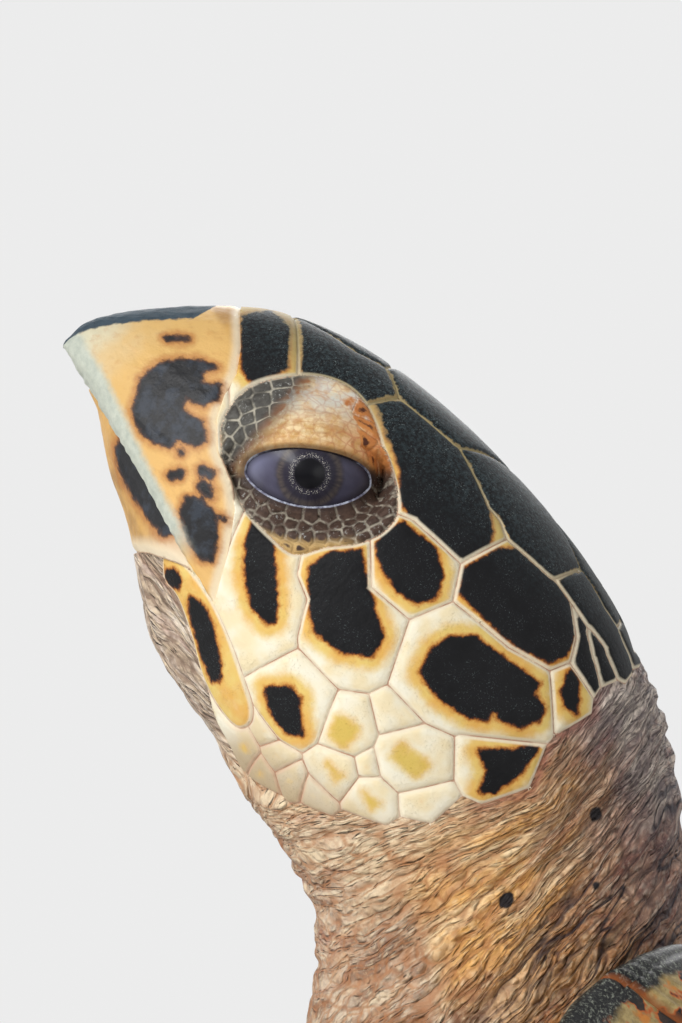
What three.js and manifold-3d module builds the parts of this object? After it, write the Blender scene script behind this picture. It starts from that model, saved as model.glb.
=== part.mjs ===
// A life-size hawksbill sea turtle, swimming steeply upwards with its head bent level and turned a
// little to its left, held on a display stand. Millimetres, +Z up, the turtle faces -Y.
//
// The animal is modelled in its own body frame: a point is (x, f, u), with x to the turtle's left,
// f forwards along the shell and u up out of its back, and the middle of the shell at the origin.
// The head's measures are (s, h): s runs back from the tip of the beak and h up towards the crown.
import * as THREE from "three";
import { mergeVertices } from "three/addons/utils/BufferGeometryUtils.js";
import Module from "manifold-3d";

const wasm = await Module();
wasm.setup();

// ---------------------------------------------------------------- driving dimensions
const HALF_LENGTH = 330; // half the straight length of the carapace
const HALF_WIDTH = 243; // half its width
const DOME = 122; // height of the back above the rim
const BODY_PITCH = 52; // degrees that the body climbs
const BODY_HEIGHT = 452; // the middle of the shell above the floor
const HEAD_DROOP = 14; // degrees that the head is bent down from the body's line
const HEAD_TURN = 10; // degrees that the head is turned to the left
const BEAK_TIP = { f: 536, u: 3 };
const GAP = 0.4; // clearance left by each cut
const REST_GAP = 0.3; // clearance between pieces that rest on each other

const degrees = THREE.MathUtils.degToRad;
const mix = THREE.MathUtils.lerp;

// ---------------------------------------------------------------- frames
const at = (x, f, u) => new THREE.Vector3(x, -f, u);

/** The (f, u) place of a point of the head's middle plane. */
function onHead(s, h) {
  const c = Math.cos(degrees(HEAD_DROOP)), d = Math.sin(degrees(HEAD_DROOP));
  return [BEAK_TIP.f - c * s + d * h, BEAK_TIP.u + d * s + c * h];
}

const UPRIGHT = at(0, Math.sin(degrees(BODY_PITCH)), Math.cos(degrees(BODY_PITCH))); // the world's +Z
const TURN_FROM = 324, TURN_TO = 386; // the stretch of the neck that twists
const TURN_PIVOT = at(0, 356, 0);

/** Turns the head about the vertical: none of the turn at the shell, and all of it at the skull. */
function turnHead(point) {
  const share = THREE.MathUtils.smoothstep(-point.y, TURN_FROM, TURN_TO);
  return point.sub(TURN_PIVOT).applyAxisAngle(UPRIGHT, degrees(HEAD_TURN) * share).add(TURN_PIVOT);
}

// ---------------------------------------------------------------- shapes to solids
/** A closed solid from indexed triangles, whichever way round they were listed. */
function solidFrom(points, faces) {
  const build = (triVerts) => new wasm.Manifold(new wasm.Mesh({
    numProp: 3,
    vertProperties: new Float32Array(points.flatMap((p) => p.toArray())),
    triVerts: new Uint32Array(triVerts.flat()),
  }));
  const made = build(faces);
  return made.volume() > 0 ? made : build(faces.map(([a, b, c]) => [a, c, b]));
}

/** A closed solid from a three.js geometry, placed by a matrix. */
function solidOf(geometry, matrix = new THREE.Matrix4()) {
  const bare = geometry.clone().applyMatrix4(matrix);
  bare.deleteAttribute("normal");
  bare.deleteAttribute("uv");
  const merged = mergeVertices(bare, 1e-3);
  const points = [], faces = [], index = merged.index.array;
  for (let i = 0; i < merged.attributes.position.count; i++)
    points.push(new THREE.Vector3().fromBufferAttribute(merged.attributes.position, i));
  for (let i = 0; i < index.length; i += 3) faces.push([index[i], index[i + 1], index[i + 2]]);
  return solidFrom(points, faces.filter(([a, b, c]) => a !== b && b !== c && a !== c));
}

/**
 * A skin over rings of points, closed by a fan at each end, about the ring's own middle or a given
 * point. A ring has as many points as the one before it, or twice or half as many.
 */
function skinOver(rings, firstTip, lastTip) {
  const points = rings.flat(), faces = [];
  let start = 0;
  for (let r = 0; r + 1 < rings.length; r++) {
    const near = rings[r].length, far = rings[r + 1].length, steps = Math.max(near, far);
    const a = (i) => start + Math.floor((i * near) / steps) % near;
    const b = (i) => start + near + Math.floor((i * far) / steps) % far;
    for (let i = 0; i < steps; i++) {
      if (a(i) !== a(i + 1)) faces.push([a(i), a(i + 1), b(i + 1)]);
      if (b(i) !== b(i + 1)) faces.push([a(i), b(i + 1), b(i)]);
    }
    start += near;
  }
  const ends = [[rings[0], 0, firstTip, false], [rings.at(-1), start, lastTip, true]];
  for (const [ring, from, tip, forwards] of ends) {
    const middle = points.length, around = ring.length;
    points.push(tip ?? ring.reduce((sum, p) => sum.add(p), new THREE.Vector3()).divideScalar(around));
    for (let i = 0; i < around; i++) {
      const a = from + i, b = from + ((i + 1) % around);
      faces.push(forwards ? [a, b, middle] : [b, a, middle]);
    }
  }
  return solidFrom(points, faces);
}

/** Catmull-Rom through the rows of a table, at row number t. */
function spline(rows, t) {
  const i = Math.min(Math.floor(t), rows.length - 2), k = t - i;
  const [a, b, c, d] = [i - 1, i, i + 1, i + 2].map((n) => rows[THREE.MathUtils.clamp(n, 0, rows.length - 1)]);
  return b.map((_, n) => 0.5 * (2 * b[n] + (c[n] - a[n]) * k
    + (2 * a[n] - 5 * b[n] + 4 * c[n] - d[n]) * k * k
    + (3 * b[n] - a[n] - 3 * c[n] + d[n]) * k ** 3));
}

/** A slab across the whole animal whose side view is the polygon of (f, u) points. */
function sideSlab(outline, fromX = -160, toX = 160) {
  const shape = new THREE.Shape(outline.map(([f, u]) => new THREE.Vector2(f, u)));
  const geometry = new THREE.ExtrudeGeometry(shape, { depth: toX - fromX, bevelEnabled: false });
  const axes = new THREE.Matrix4().makeBasis(at(0, 1, 0), at(0, 0, 1), at(1, 0, 0)).setPosition(fromX, 0, 0);
  return solidOf(geometry, axes);
}

/** The two sides of a plane through two (f, u) points, GAP apart: the first is on the left of a to b. */
function parted(solid, [af, au], [bf, bu]) {
  const normal = at(0, au - bu, bf - af).normalize();
  const level = normal.dot(at(0, af, au));
  return [
    solid.trimByPlane(normal.toArray(), level + GAP / 2),
    solid.trimByPlane(normal.clone().negate().toArray(), -level + GAP / 2),
  ];
}

// ---------------------------------------------------------------- head and neck
// Pairs of points on the upper and lower outline, beak to shell, with the half width, how far up the
// pair the widest level lies, and the squareness above and below it (2 is an ellipse).
const headStation = (s, h, sLow, hLow, ...rest) => [...onHead(s, h), ...onHead(sLow, hLow), ...rest];
const HEAD_AND_NECK = [
  headStation(0.0, 2.0, 0.4, -0.4, 1.3, 0.4, 2.0, 2.0),
  headStation(1.4, 8.4, 4.5, -2.2, 5.6, 0.3, 2.0, 1.8),
  headStation(5.8, 14.4, 10, -4.4, 10.2, 0.28, 2.0, 1.8),
  headStation(14, 22.8, 18.5, -8.5, 16.4, 0.28, 2.0, 1.9),
  headStation(24, 31.2, 28, -16.5, 22.5, 0.32, 2.0, 2.0),
  headStation(36, 39.4, 40, -24.4, 28.5, 0.36, 2.1, 2.0),
  headStation(52, 44.6, 52, -34.0, 34.5, 0.4, 2.2, 2.0),
  headStation(70, 46.8, 68, -43.6, 39.5, 0.42, 2.3, 2.0),
  headStation(90, 46.4, 84, -50.0, 44.5, 0.44, 2.3, 2.1),
  headStation(110, 43.9, 100, -56.2, 48, 0.46, 2.3, 2.2),
  headStation(130, 39.8, 115, -62.2, 49.5, 0.48, 2.2, 2.2),
  headStation(150, 33.2, 128, -67.2, 48.5, 0.5, 2.1, 2.1),
  headStation(168, 23.3, 138, -73.4, 46.5, 0.5, 2, 2),
  headStation(186, 9.0, 145, -81.5, 45.5, 0.5, 2, 2),
  [337, 44.5, 368, -48.5, 46, 0.5, 2, 2],
  [316, 30, 355, -61, 49, 0.5, 2, 2],
  [290, 24, 322, -69, 56, 0.5, 2, 2],
  [245, 18, 265, -70, 62, 0.5, 2, 2],
];
const JAW_INSET = 2.6; // the lower jaw closes inside the upper beak

function neckRing(row, count, inset) {
  const [tf, tu, bf, bu, half, waist, squareTop, squareLow] = row;
  const ring = [];
  for (let i = 0; i < count; i++) {
    const angle = (i / count) * 2 * Math.PI, c = Math.cos(angle), s = Math.sin(angle);
    const power = 2 / (c >= 0 ? squareTop : squareLow);
    const up = waist + (c >= 0 ? 1 - waist : waist) * Math.sign(c) * Math.abs(c) ** power;
    const x = Math.max(half - inset, 0.6) * Math.sign(s) * Math.abs(s) ** power;
    ring.push(at(x, mix(bf, tf, up), mix(bu, tu, up)));
  }
  return ring;
}

const headAndNeck = (inset = 0) => skinOver(HEAD_AND_NECK.map((row) => neckRing(row, 18, inset)));

// The cutting edge of the upper beak, from ahead of the tip back to the corner of the mouth.
const MOUTH = [[-4, 0.5], [0, -0.8], [8, -3.6], [16.7, -6.4], [32, -11.6], [44, -16.6], [56, -21.6],
  [68.6, -26], [80, -31.6], [92, -39]];
const MOUTH_BACK = [98, -43];
const BEAK_BACK = [[75, -29.2], [69.5, -20], [63, -10.5], [55, -3], [47, 6], [43, 16], [36.5, 26], [29.5, 36], [28, 44]];

function cutHead() {
  const upperLine = MOUTH.filter(([s]) => s < BEAK_BACK[0][0]);
  const grow = (rows, ds, dh) => rows.map(([s, h]) => onHead(s + ds, h + dh));
  const region = (gap) => sideSlab([
    ...grow(upperLine, 0, -gap), ...grow(BEAK_BACK.slice(0, 1), gap, -gap),
    ...grow(BEAK_BACK.slice(1), gap, 0), onHead(-6, 46),
  ]);
  const jawRegion = (gap) => sideSlab([
    ...grow([...MOUTH, MOUTH_BACK], gap / 2, gap - GAP), onHead(92 + gap, -72), onHead(-4, -72),
  ]);
  const whole = headAndNeck();
  const lowerJaw = headAndNeck(JAW_INSET).intersect(jawRegion(0)).subtract(sideSlab(
    [onHead(-6, 3), onHead(15.6, 3), onHead(15.6, -30), onHead(-6, -30)]));
  return {
    upperBeak: whole.intersect(region(0)),
    lowerJaw,
    rest: whole.add(lidBulge(1)).add(lidBulge(-1)).subtract(region(GAP)).subtract(jawRegion(GAP)),
  };
}

// ---------------------------------------------------------------- eyes
const EYE = { s: 67.5, h: 12.5, x: 20.3, radius: 19 };
const LIDS = { x: 22.5, along: 21, high: 20, out: 19.5 };
const EYE_OPENING = { s: 69.3, h: 11.6, half: 15.6, rise: 7.4, fall: 7.2, tilt: 32 }; // an almond, tilted up behind

const ball = (radius) => new THREE.SphereGeometry(radius, 14, 10);

function eyePlace(side, x) {
  const [f, u] = onHead(EYE.s, EYE.h);
  return at(side * x, f, u);
}

function eyeBall(side, radius) {
  return solidOf(ball(radius), new THREE.Matrix4().setPosition(eyePlace(side, EYE.x)));
}

function lidBulge(side) {
  const matrix = new THREE.Matrix4().makeRotationX(degrees(-HEAD_DROOP))
    .scale(new THREE.Vector3(LIDS.out, LIDS.along, LIDS.high)).setPosition(eyePlace(side, LIDS.x));
  return solidOf(ball(1), matrix);
}

function eyeWindow(side) {
  const almond = [], tilt = degrees(EYE_OPENING.tilt), steps = 16;
  for (let i = 0; i < steps; i++) {
    const angle = (i / steps) * 2 * Math.PI, rise = Math.sin(angle) > 0 ? EYE_OPENING.rise : EYE_OPENING.fall;
    const along = EYE_OPENING.half * Math.cos(angle), up = rise * Math.sin(angle) * Math.abs(Math.sin(angle)) ** 0.3;
    almond.push(onHead(
      EYE_OPENING.s + along * Math.cos(tilt) - up * Math.sin(tilt),
      EYE_OPENING.h + along * Math.sin(tilt) + up * Math.cos(tilt)));
  }
  return sideSlab(almond, side > 0 ? EYE.x : -60, side > 0 ? 60 : -EYE.x);
}

// ---------------------------------------------------------------- shell
// Half the rim, front to back: share of the half width, share of the half length, height.
const RIM = [[0, 0.95, 45], [0.26, 0.996, 38], [0.5, 0.982, 13], [0.77, 0.81, -5], [0.94, 0.52, -10],
  [1, 0.18, -11], [0.97, -0.16, -10], [0.84, -0.49, -7], [0.61, -0.76, -1], [0.33, -0.95, 6], [0, -1.045, 11]];
const MARGINALS = 12, NUCHAL_ROWS = 0.6; // marginal plates a side, and the nuchal's half width in rows of RIM
const SERRATION = [-0.012, 0.02]; // notch and point of a hind marginal, as shares
const SCUTE = 5, RIM_THICK = 7, SEAT = 0.864, SCUTE_EDGE = 0.857;

/** One point of the rim at row t, with the saw teeth of the hind marginals. */
function rimPoint(t, side, tooth = 0) {
  const [x, f, u] = spline(RIM, t);
  const strength = THREE.MathUtils.smoothstep(t, 4, 8) * (t > 9.8 ? 0 : 1);
  const reach = 1 + tooth * strength;
  return [side * Math.max(x, 0) * HALF_WIDTH * reach, f * HALF_LENGTH * reach, u];
}

/** The rim's points, going round from the nuchal notch by the left side. */
function rim() {
  const rows = [[0, 0], [NUCHAL_ROWS / 2, 0], [NUCHAL_ROWS, 0]], last = RIM.length - 1;
  const span = (last - NUCHAL_ROWS) / MARGINALS;
  for (let m = 0; m < MARGINALS; m++)
    for (const part of [1, 2]) rows.push([NUCHAL_ROWS + span * (m + part / 2), SERRATION[part % 2]]);
  const left = rows.map(([t, tooth]) => rimPoint(t, 1, tooth));
  const right = rows.slice(1, -1).reverse().map(([t, tooth]) => rimPoint(t, -1, tooth));
  return [...left, ...right];
}
const edge = rim();
const coarseEdge = edge.filter((_, i) => i % 2 === 0);

/** A ring of the dome at a share of the way out to the rim, lowered by some depth. */
function domeRing(edge, share, lower) {
  return edge.map(([x, f, u]) => at(x * share, f * share,
    u * share ** 2 + DOME * Math.max(Math.cos(share * Math.PI / 2), 0) ** 1.15 - lower));
}

/** The dome inside the marginals, from its middle out to a share. */
function domeRings(outermost, lower) {
  return [
    domeRing(coarseEdge, 0.24, lower), domeRing(coarseEdge, 0.47, lower),
    domeRing(edge, 0.68, lower), domeRing(edge, outermost, lower),
  ];
}

function carapaceBase() {
  const under = (points, share, depth) => points.map(([x, f, u]) => at(x * share, f * share, u * share ** 2 - depth));
  return skinOver([
    ...domeRings(SCUTE_EDGE + 0.006, SCUTE + REST_GAP),
    domeRing(edge, SEAT, 0), domeRing(edge, 0.93, 0), domeRing(edge, 0.985, 0.5),
    under(edge, 1, RIM_THICK / 2), under(edge, 0.985, RIM_THICK),
    under(coarseEdge, 0.86, 14), under(coarseEdge, 0.5, 16),
  ], at(0, 0, DOME - SCUTE - REST_GAP));
}

function scuteLayer() {
  const rings = [...domeRings(SCUTE_EDGE, 0), ...domeRings(SCUTE_EDGE, SCUTE).reverse()];
  return skinOver(rings, at(0, 0, DOME), at(0, 0, DOME - SCUTE));
}

// Each scute grows from a circle (x, f, radius), and two scutes meet on the line of equal power.
const SCUTES = {
  vertebral_scute_1: [0, 226, 66], vertebral_scute_2: [0, 116, 62], vertebral_scute_3: [0, -6, 62],
  vertebral_scute_4: [0, -126, 56], vertebral_scute_5: [0, -236, 54],
};
[[140, 178, 78], [156, 56, 76], [146, -64, 74], [112, -178, 70]].forEach(([x, f, radius], i) => {
  SCUTES[`costal_scute_left_${i + 1}`] = [x, f, radius];
  SCUTES[`costal_scute_right_${i + 1}`] = [-x, f, radius];
});
const SHINGLE = { tip: 1.1, lift: 2.3 }; // each scute tips up at the back, over the next one

function scute(layer, name) {
  const [x, f, radius] = SCUTES[name];
  let plate = layer;
  for (const [ox, of, oRadius] of Object.values(SCUTES)) {
    const apart = Math.hypot(ox - x, of - f);
    if (apart === 0) continue;
    const reach = (apart ** 2 + radius ** 2 - oRadius ** 2) / (2 * apart) - GAP / 2;
    const inward = at((x - ox) / apart, (f - of) / apart, 0);
    plate = plate.trimByPlane(inward.toArray(), inward.dot(at(x, f, 0)) - reach);
  }
  const middle = new THREE.Matrix4().setPosition(at(x, f, DOME / 2));
  const tipped = middle.clone().multiply(new THREE.Matrix4().makeRotationX(degrees(SHINGLE.tip)))
    .multiply(middle.clone().invert()).premultiply(new THREE.Matrix4().makeTranslation(0, 0, SHINGLE.lift));
  return plate.transform(tipped.toArray());
}

// The belly: height, and the share of the rim that it reaches at the sides, the front and the rear.
const BELLY = [[10, 0.93, 0.9, 0.88], [-12, 0.93, 0.92, 0.88], [-38, 0.87, 0.91, 0.85], [-60, 0.76, 0.88, 0.8],
  [-75, 0.62, 0.82, 0.72], [-82, 0.36, 0.5, 0.45]];

function belly(inset) {
  return skinOver(BELLY.map(([u, side, front, rear]) => coarseEdge.map(([x, f]) => {
    const lengthwise = Math.min((f / HALF_LENGTH) ** 2, 1);
    const share = mix(side, f > 0 ? front : rear, lengthwise) - inset / 200;
    return at(x * share, f * share, u + (u < 0 ? inset : 0));
  })));
}

// Half the plastron's outline (x, f), with a bridge out to the rim between the two notches.
const PLASTRON = [[0, 264], [55, 258], [98, 226], [122, 165], [165, 120], [240, 108], [240, -92],
  [160, -108], [112, -150], [88, -206], [48, -256], [0, -270]];

function plastronPrism(grow) {
  const half = PLASTRON.map(([x, f]) => new THREE.Vector2(x + (x > 0 ? grow : 0), f + Math.sign(f) * grow));
  const mirrored = half.slice(1, -1).reverse().map((p) => new THREE.Vector2(-p.x, p.y));
  const geometry = new THREE.ExtrudeGeometry(new THREE.Shape([...half, ...mirrored]), { depth: 200, bevelEnabled: false });
  return solidOf(geometry, new THREE.Matrix4().makeBasis(at(1, 0, 0), at(0, 1, 0), at(0, 0, 1)).setPosition(0, 0, -130));
}

// ---------------------------------------------------------------- limbs
// Stations out along a limb: middle of the blade (x, f, u), chord, thickness.
const FRONT_FLIPPER = [[104, 248, -28, 96, 50], [158, 256, -38, 98, 45], [216, 243, -39, 102, 38],
  [274, 208, -31, 110, 31], [326, 155, -20, 112, 24], [366, 92, -7, 98, 17], [393, 26, 6, 72, 12],
  [409, -34, 17, 48, 8], [416, -76, 24, 27, 5], [418, -102, 28, 6, 3]];
const HIND_FLIPPER = [[58, -205, -30, 58, 42], [92, -250, -32, 60, 38], [124, -296, -35, 70, 30], [150, -342, -40, 86, 21],
  [170, -388, -46, 94, 14], [184, -426, -52, 82, 9], [193, -450, -55, 52, 6], [197, -462, -57, 20, 3.5]];

/** A blade's ring: blunt at the leading edge and thin at the trailing one. */
function bladeRing(rows, t, side, grow, around = 12) {
  const [x, f, u, chord, thick] = rows[t].map((value, n) => (n < 3 ? value : value + 2 * grow));
  const ahead = spline(rows, Math.min(t + 0.05, rows.length - 1)), behind = spline(rows, Math.max(t - 0.05, 0));
  const run = new THREE.Vector2(ahead[0] - behind[0], ahead[1] - behind[1]).normalize();
  const ring = [];
  for (let i = 0; i < around; i++) {
    const angle = (i / around) * 2 * Math.PI, along = Math.cos(angle) * chord / 2;
    const fullness = 0.72 + 0.28 * Math.cos(angle);
    ring.push(at(side * (x - run.y * along), f + run.x * along, u + Math.sin(angle) * fullness * thick / 2));
  }
  return ring;
}

function limb(rows, side, grow = 0) {
  return skinOver(rows.map((_, t) => bladeRing(rows, t, side, grow)));
}

// Claws on the leading edges: row of the limb, length, thickness.
const FRONT_CLAWS = [[3.35, 17, 6.5], [4.3, 11, 5]];
const HIND_CLAWS = [[3.1, 12, 5.5], [4.0, 9, 4.5]];

/** A curved cone that grows out of the leading edge and bends towards the tip. */
function claw(rows, [t, length, thick], side) {
  const [x, f, u, chord] = spline(rows, t), next = spline(rows, t + 0.05);
  const run = new THREE.Vector2(next[0] - x, next[1] - f).normalize();
  const rings = [0, 0.5, 1].map((share) => {
    const out = chord / 2 - 5 + length * share, sweep = length * 0.45 * share ** 2;
    const radius = (thick / 2) * (1 - 0.9 * share ** 1.5);
    const middle = at(side * (x - run.y * out + run.x * sweep), f + run.x * out + run.y * sweep, u - 1.5 * share);
    return Array.from({ length: 6 }, (_, i) => {
      const angle = (i / 6) * 2 * Math.PI, across = Math.cos(angle) * radius;
      return middle.clone().add(at(side * run.x * across, run.y * across, Math.sin(angle) * radius * 1.15));
    });
  });
  return skinOver(rings);
}

// Tail, base to tip: f, u, half width, half height.
const TAIL = [[-215, -30, 34, 26], [-262, -33, 25, 19], [-300, -37, 16, 13], [-330, -41, 9, 8], [-347, -44, 2.5, 2.5]];

function tail() {
  return skinOver(TAIL.map(([f, u, wide, high]) => Array.from({ length: 12 }, (_, i) => {
    const angle = (i / 12) * 2 * Math.PI;
    return at(wide * Math.cos(angle), f, u + high * Math.sin(angle));
  })));
}

// ---------------------------------------------------------------- stand
const BASE = { x: 400, y: 540, z: 24, corner: 40, bevel: 4 };
const FLANGE = { radius: 27, height: 7 };
const ROD_RADIUS = 8;
const RODS = { front: 92, rear: -108 }; // where each rod meets the plastron, along the shell
const ROD_BITE = 30; // how far a rod runs past the plastron's face before it is trimmed to it

const group = new THREE.Group();
const turtle = new THREE.Group();
turtle.rotation.x = -degrees(BODY_PITCH);
turtle.position.z = BODY_HEIGHT;
turtle.updateMatrix();
group.add(turtle);

function standBase() {
  const { x, y, z, corner, bevel } = BASE, w = x / 2 - bevel, d = y / 2 - bevel, shape = new THREE.Shape();
  [[w - corner, d - corner, 0], [corner - w, d - corner, 90], [corner - w, corner - d, 180], [w - corner, corner - d, 270]]
    .forEach(([cx, cy, from]) => shape.absarc(cx, cy, corner, degrees(from), degrees(from + 90), false));
  const geometry = new THREE.ExtrudeGeometry(shape, {
    depth: z - bevel, bevelThickness: bevel, bevelSize: bevel, bevelSegments: 1, curveSegments: 4,
  });
  const plate = solidOf(geometry); // its bevels stand below 0 and above z - bevel
  return plate.trimByPlane([0, 0, 1], 0);
}

function flange(place) {
  const profile = [[0, 0], [FLANGE.radius, 0], [FLANGE.radius, FLANGE.height - 2], [FLANGE.radius - 2, FLANGE.height], [0, FLANGE.height]];
  const geometry = new THREE.LatheGeometry(profile.map(([r, z]) => new THREE.Vector2(r, z)), 16);
  geometry.rotateX(Math.PI / 2);
  return solidOf(geometry, new THREE.Matrix4().makeTranslation(0, place, BASE.z + REST_GAP));
}

/** World (y, z) of the plastron's face at a place along the shell. */
function plastronFace(f) {
  const point = at(0, f, BELLY.at(-1)[0]).applyMatrix4(turtle.matrix);
  return [point.y, point.z];
}

/** A rod in the body frame, trimmed to the plastron. */
function rod(f, plastron) {
  const [y, top] = plastronFace(f), foot = BASE.z + FLANGE.height + 2 * REST_GAP, length = top + ROD_BITE - foot;
  const geometry = new THREE.CylinderGeometry(ROD_RADIUS, ROD_RADIUS, length, 16).rotateX(Math.PI / 2);
  const upright = new THREE.Matrix4().makeTranslation(0, y, foot + length / 2).premultiply(turtle.matrix.clone().invert());
  return solidOf(geometry, upright).subtract(plastron.translate([0, 0, -REST_GAP]));
}

// ---------------------------------------------------------------- assembly
const KERATIN = { roughness: 0.35, metalness: 0 };
const MATERIALS = {
  skin: new THREE.MeshStandardMaterial({ color: 0xc99a5b, roughness: 0.55, metalness: 0 }),
  headPlates: new THREE.MeshStandardMaterial({ color: 0x2b211c, roughness: 0.4, metalness: 0 }),
  beak: new THREE.MeshStandardMaterial({ color: 0xe8bd74, ...KERATIN }),
  eye: new THREE.MeshStandardMaterial({ color: 0x2a2830, roughness: 0.08, metalness: 0 }),
  flipper: new THREE.MeshStandardMaterial({ color: 0x3a2c22, roughness: 0.5, metalness: 0 }),
  claw: new THREE.MeshStandardMaterial({ color: 0xb9945c, ...KERATIN }),
  rim: new THREE.MeshStandardMaterial({ color: 0x4a2f18, ...KERATIN }),
  scute: new THREE.MeshStandardMaterial({ color: 0x6b431c, ...KERATIN }),
  plastron: new THREE.MeshStandardMaterial({ color: 0xe6cf96, roughness: 0.45, metalness: 0 }),
  standWood: new THREE.MeshStandardMaterial({ color: 0x5a3a22, roughness: 0.4, metalness: 0 }),
  standMetal: new THREE.MeshStandardMaterial({ color: 0xb8bcc0, roughness: 0.3, metalness: 1 }),
};

/** Adds a solid to a group as a named mesh, with the head's turn if the piece has it. */
function place(parent, name, solid, material, turned = false) {
  const mesh = solid.getMesh(), stride = mesh.numProp, positions = [];
  for (let i = 0; i < mesh.numVert; i++) {
    const point = new THREE.Vector3().fromArray(mesh.vertProperties, i * stride);
    positions.push(...(turned ? turnHead(point) : point).toArray());
  }
  const geometry = new THREE.BufferGeometry();
  geometry.setAttribute("position", new THREE.Float32BufferAttribute(positions, 3));
  geometry.setIndex([...mesh.triVerts]);
  const made = new THREE.Mesh(geometry, material);
  made.name = name;
  parent.add(made);
}

const SIDES = { left: 1, right: -1 };

// shell
const base = carapaceBase();
const prism = plastronPrism(0);
const underCarapace = base.translate([0, 0, -REST_GAP]);
const largest = (solid) => solid.decompose().sort((a, b) => b.volume() - a.volume())[0];
const plastron = largest(belly(0).intersect(prism).subtract(underCarapace));
place(turtle, "carapace", base, MATERIALS.rim);
place(turtle, "plastron", plastron, MATERIALS.plastron);
const layer = scuteLayer();
for (const name of Object.keys(SCUTES)) place(turtle, name, scute(layer, name), MATERIALS.scute);

// head, neck, shoulders and front flippers: one body of flesh, cut by the shell and parted
const NECK_BASE = 307, FLIPPER_ROOT = 164, HIP_ROOT = 96, TRUNK_SPLIT = 0;
const HEAD_BASE = [[163, 30], [120, -68]]; // nape and throat, where the head ends
const trunk = belly(4).subtract(plastronPrism(GAP)).subtract(underCarapace);
const keepOut = (solid) => solid.subtract(underCarapace).subtract(plastronPrism(GAP));
const cut = cutHead();
let skull = cut.rest;
for (const side of Object.values(SIDES)) {
  skull = skull.subtract(eyeBall(side, EYE.radius + REST_GAP)).subtract(eyeWindow(side));
}
const [head, neckAndBase] = parted(skull, onHead(...HEAD_BASE[0]), onHead(...HEAD_BASE[1]));
place(turtle, "upper_beak", cut.upperBeak, MATERIALS.beak, true);
place(turtle, "lower_jaw", cut.lowerJaw, MATERIALS.beak, true);
place(turtle, "head", head, MATERIALS.headPlates, true);
for (const [name, side] of Object.entries(SIDES)) place(turtle, `eye_${name}`, eyeBall(side, EYE.radius), MATERIALS.eye, true);

const forwards = at(0, 1, 0).toArray(), backwards = at(0, -1, 0).toArray();
const leftwards = [1, 0, 0], rightwards = [-1, 0, 0];
const neck = keepOut(neckAndBase.trimByPlane(forwards, NECK_BASE + GAP / 2));
place(turtle, "neck", neck, MATERIALS.skin, true);

const fore = keepOut([neckAndBase, trunk, limb(FRONT_FLIPPER, 1), limb(FRONT_FLIPPER, -1)]
  .reduce((sum, part) => sum.add(part))).trimByPlane(forwards, TRUNK_SPLIT).trimByPlane(backwards, -NECK_BASE + GAP / 2);
place(turtle, "shoulders", largest(fore.trimByPlane(leftwards, -FLIPPER_ROOT + GAP).trimByPlane(rightwards, -FLIPPER_ROOT + GAP)), MATERIALS.skin);
place(turtle, "front_flipper_left", largest(fore.trimByPlane(leftwards, FLIPPER_ROOT)), MATERIALS.flipper);
place(turtle, "front_flipper_right", largest(fore.trimByPlane(rightwards, FLIPPER_ROOT)), MATERIALS.flipper);

// hips, hind flippers and tail
const hind = keepOut([trunk, tail(), limb(HIND_FLIPPER, 1), limb(HIND_FLIPPER, -1)]
  .reduce((sum, part) => sum.add(part))).trimByPlane(backwards, TRUNK_SPLIT);
const TAIL_BASE = 302;
const hips = hind.trimByPlane(leftwards, -HIP_ROOT + GAP).trimByPlane(rightwards, -HIP_ROOT + GAP);
place(turtle, "hips", largest(hips.trimByPlane(forwards, -TAIL_BASE + GAP)), MATERIALS.skin);
place(turtle, "tail", largest(hips.trimByPlane(backwards, TAIL_BASE)), MATERIALS.skin);
place(turtle, "hind_flipper_left", largest(hind.trimByPlane(leftwards, HIP_ROOT)), MATERIALS.flipper);
place(turtle, "hind_flipper_right", largest(hind.trimByPlane(rightwards, HIP_ROOT)), MATERIALS.flipper);

// claws, each cut clear of its blade
for (const [name, side] of Object.entries(SIDES))
  for (const [limbName, rows, claws] of [["front", FRONT_FLIPPER, FRONT_CLAWS], ["hind", HIND_FLIPPER, HIND_CLAWS]]) {
    const blade = limb(rows, side, REST_GAP);
    claws.forEach((spec, i) => {
      place(turtle, `claw_${limbName}_${name}_${i + 1}`, largest(claw(rows, spec, side).subtract(blade)), MATERIALS.claw);
    });
  }

// stand
place(group, "stand_base", standBase(), MATERIALS.standWood);
for (const [name, f] of Object.entries(RODS)) {
  place(group, `stand_flange_${name}`, flange(plastronFace(f)[0]), MATERIALS.standMetal);
  place(turtle, `stand_rod_${name}`, largest(rod(f, plastron)), MATERIALS.standMetal);
}

export default group;
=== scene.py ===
"""A life-size hawksbill sea turtle on a display stand: its looks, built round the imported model.

The animal is worked out in millimetres in its own frame, where a point is (x, f, u): x to its left,
f forwards along the shell and u up out of its back. Its head has measures of its own, (s, h): s runs
back from the tip of the beak and h up to the crown. make_piece() turns, tilts and scales the result.
"""

import math
from functools import reduce

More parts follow.
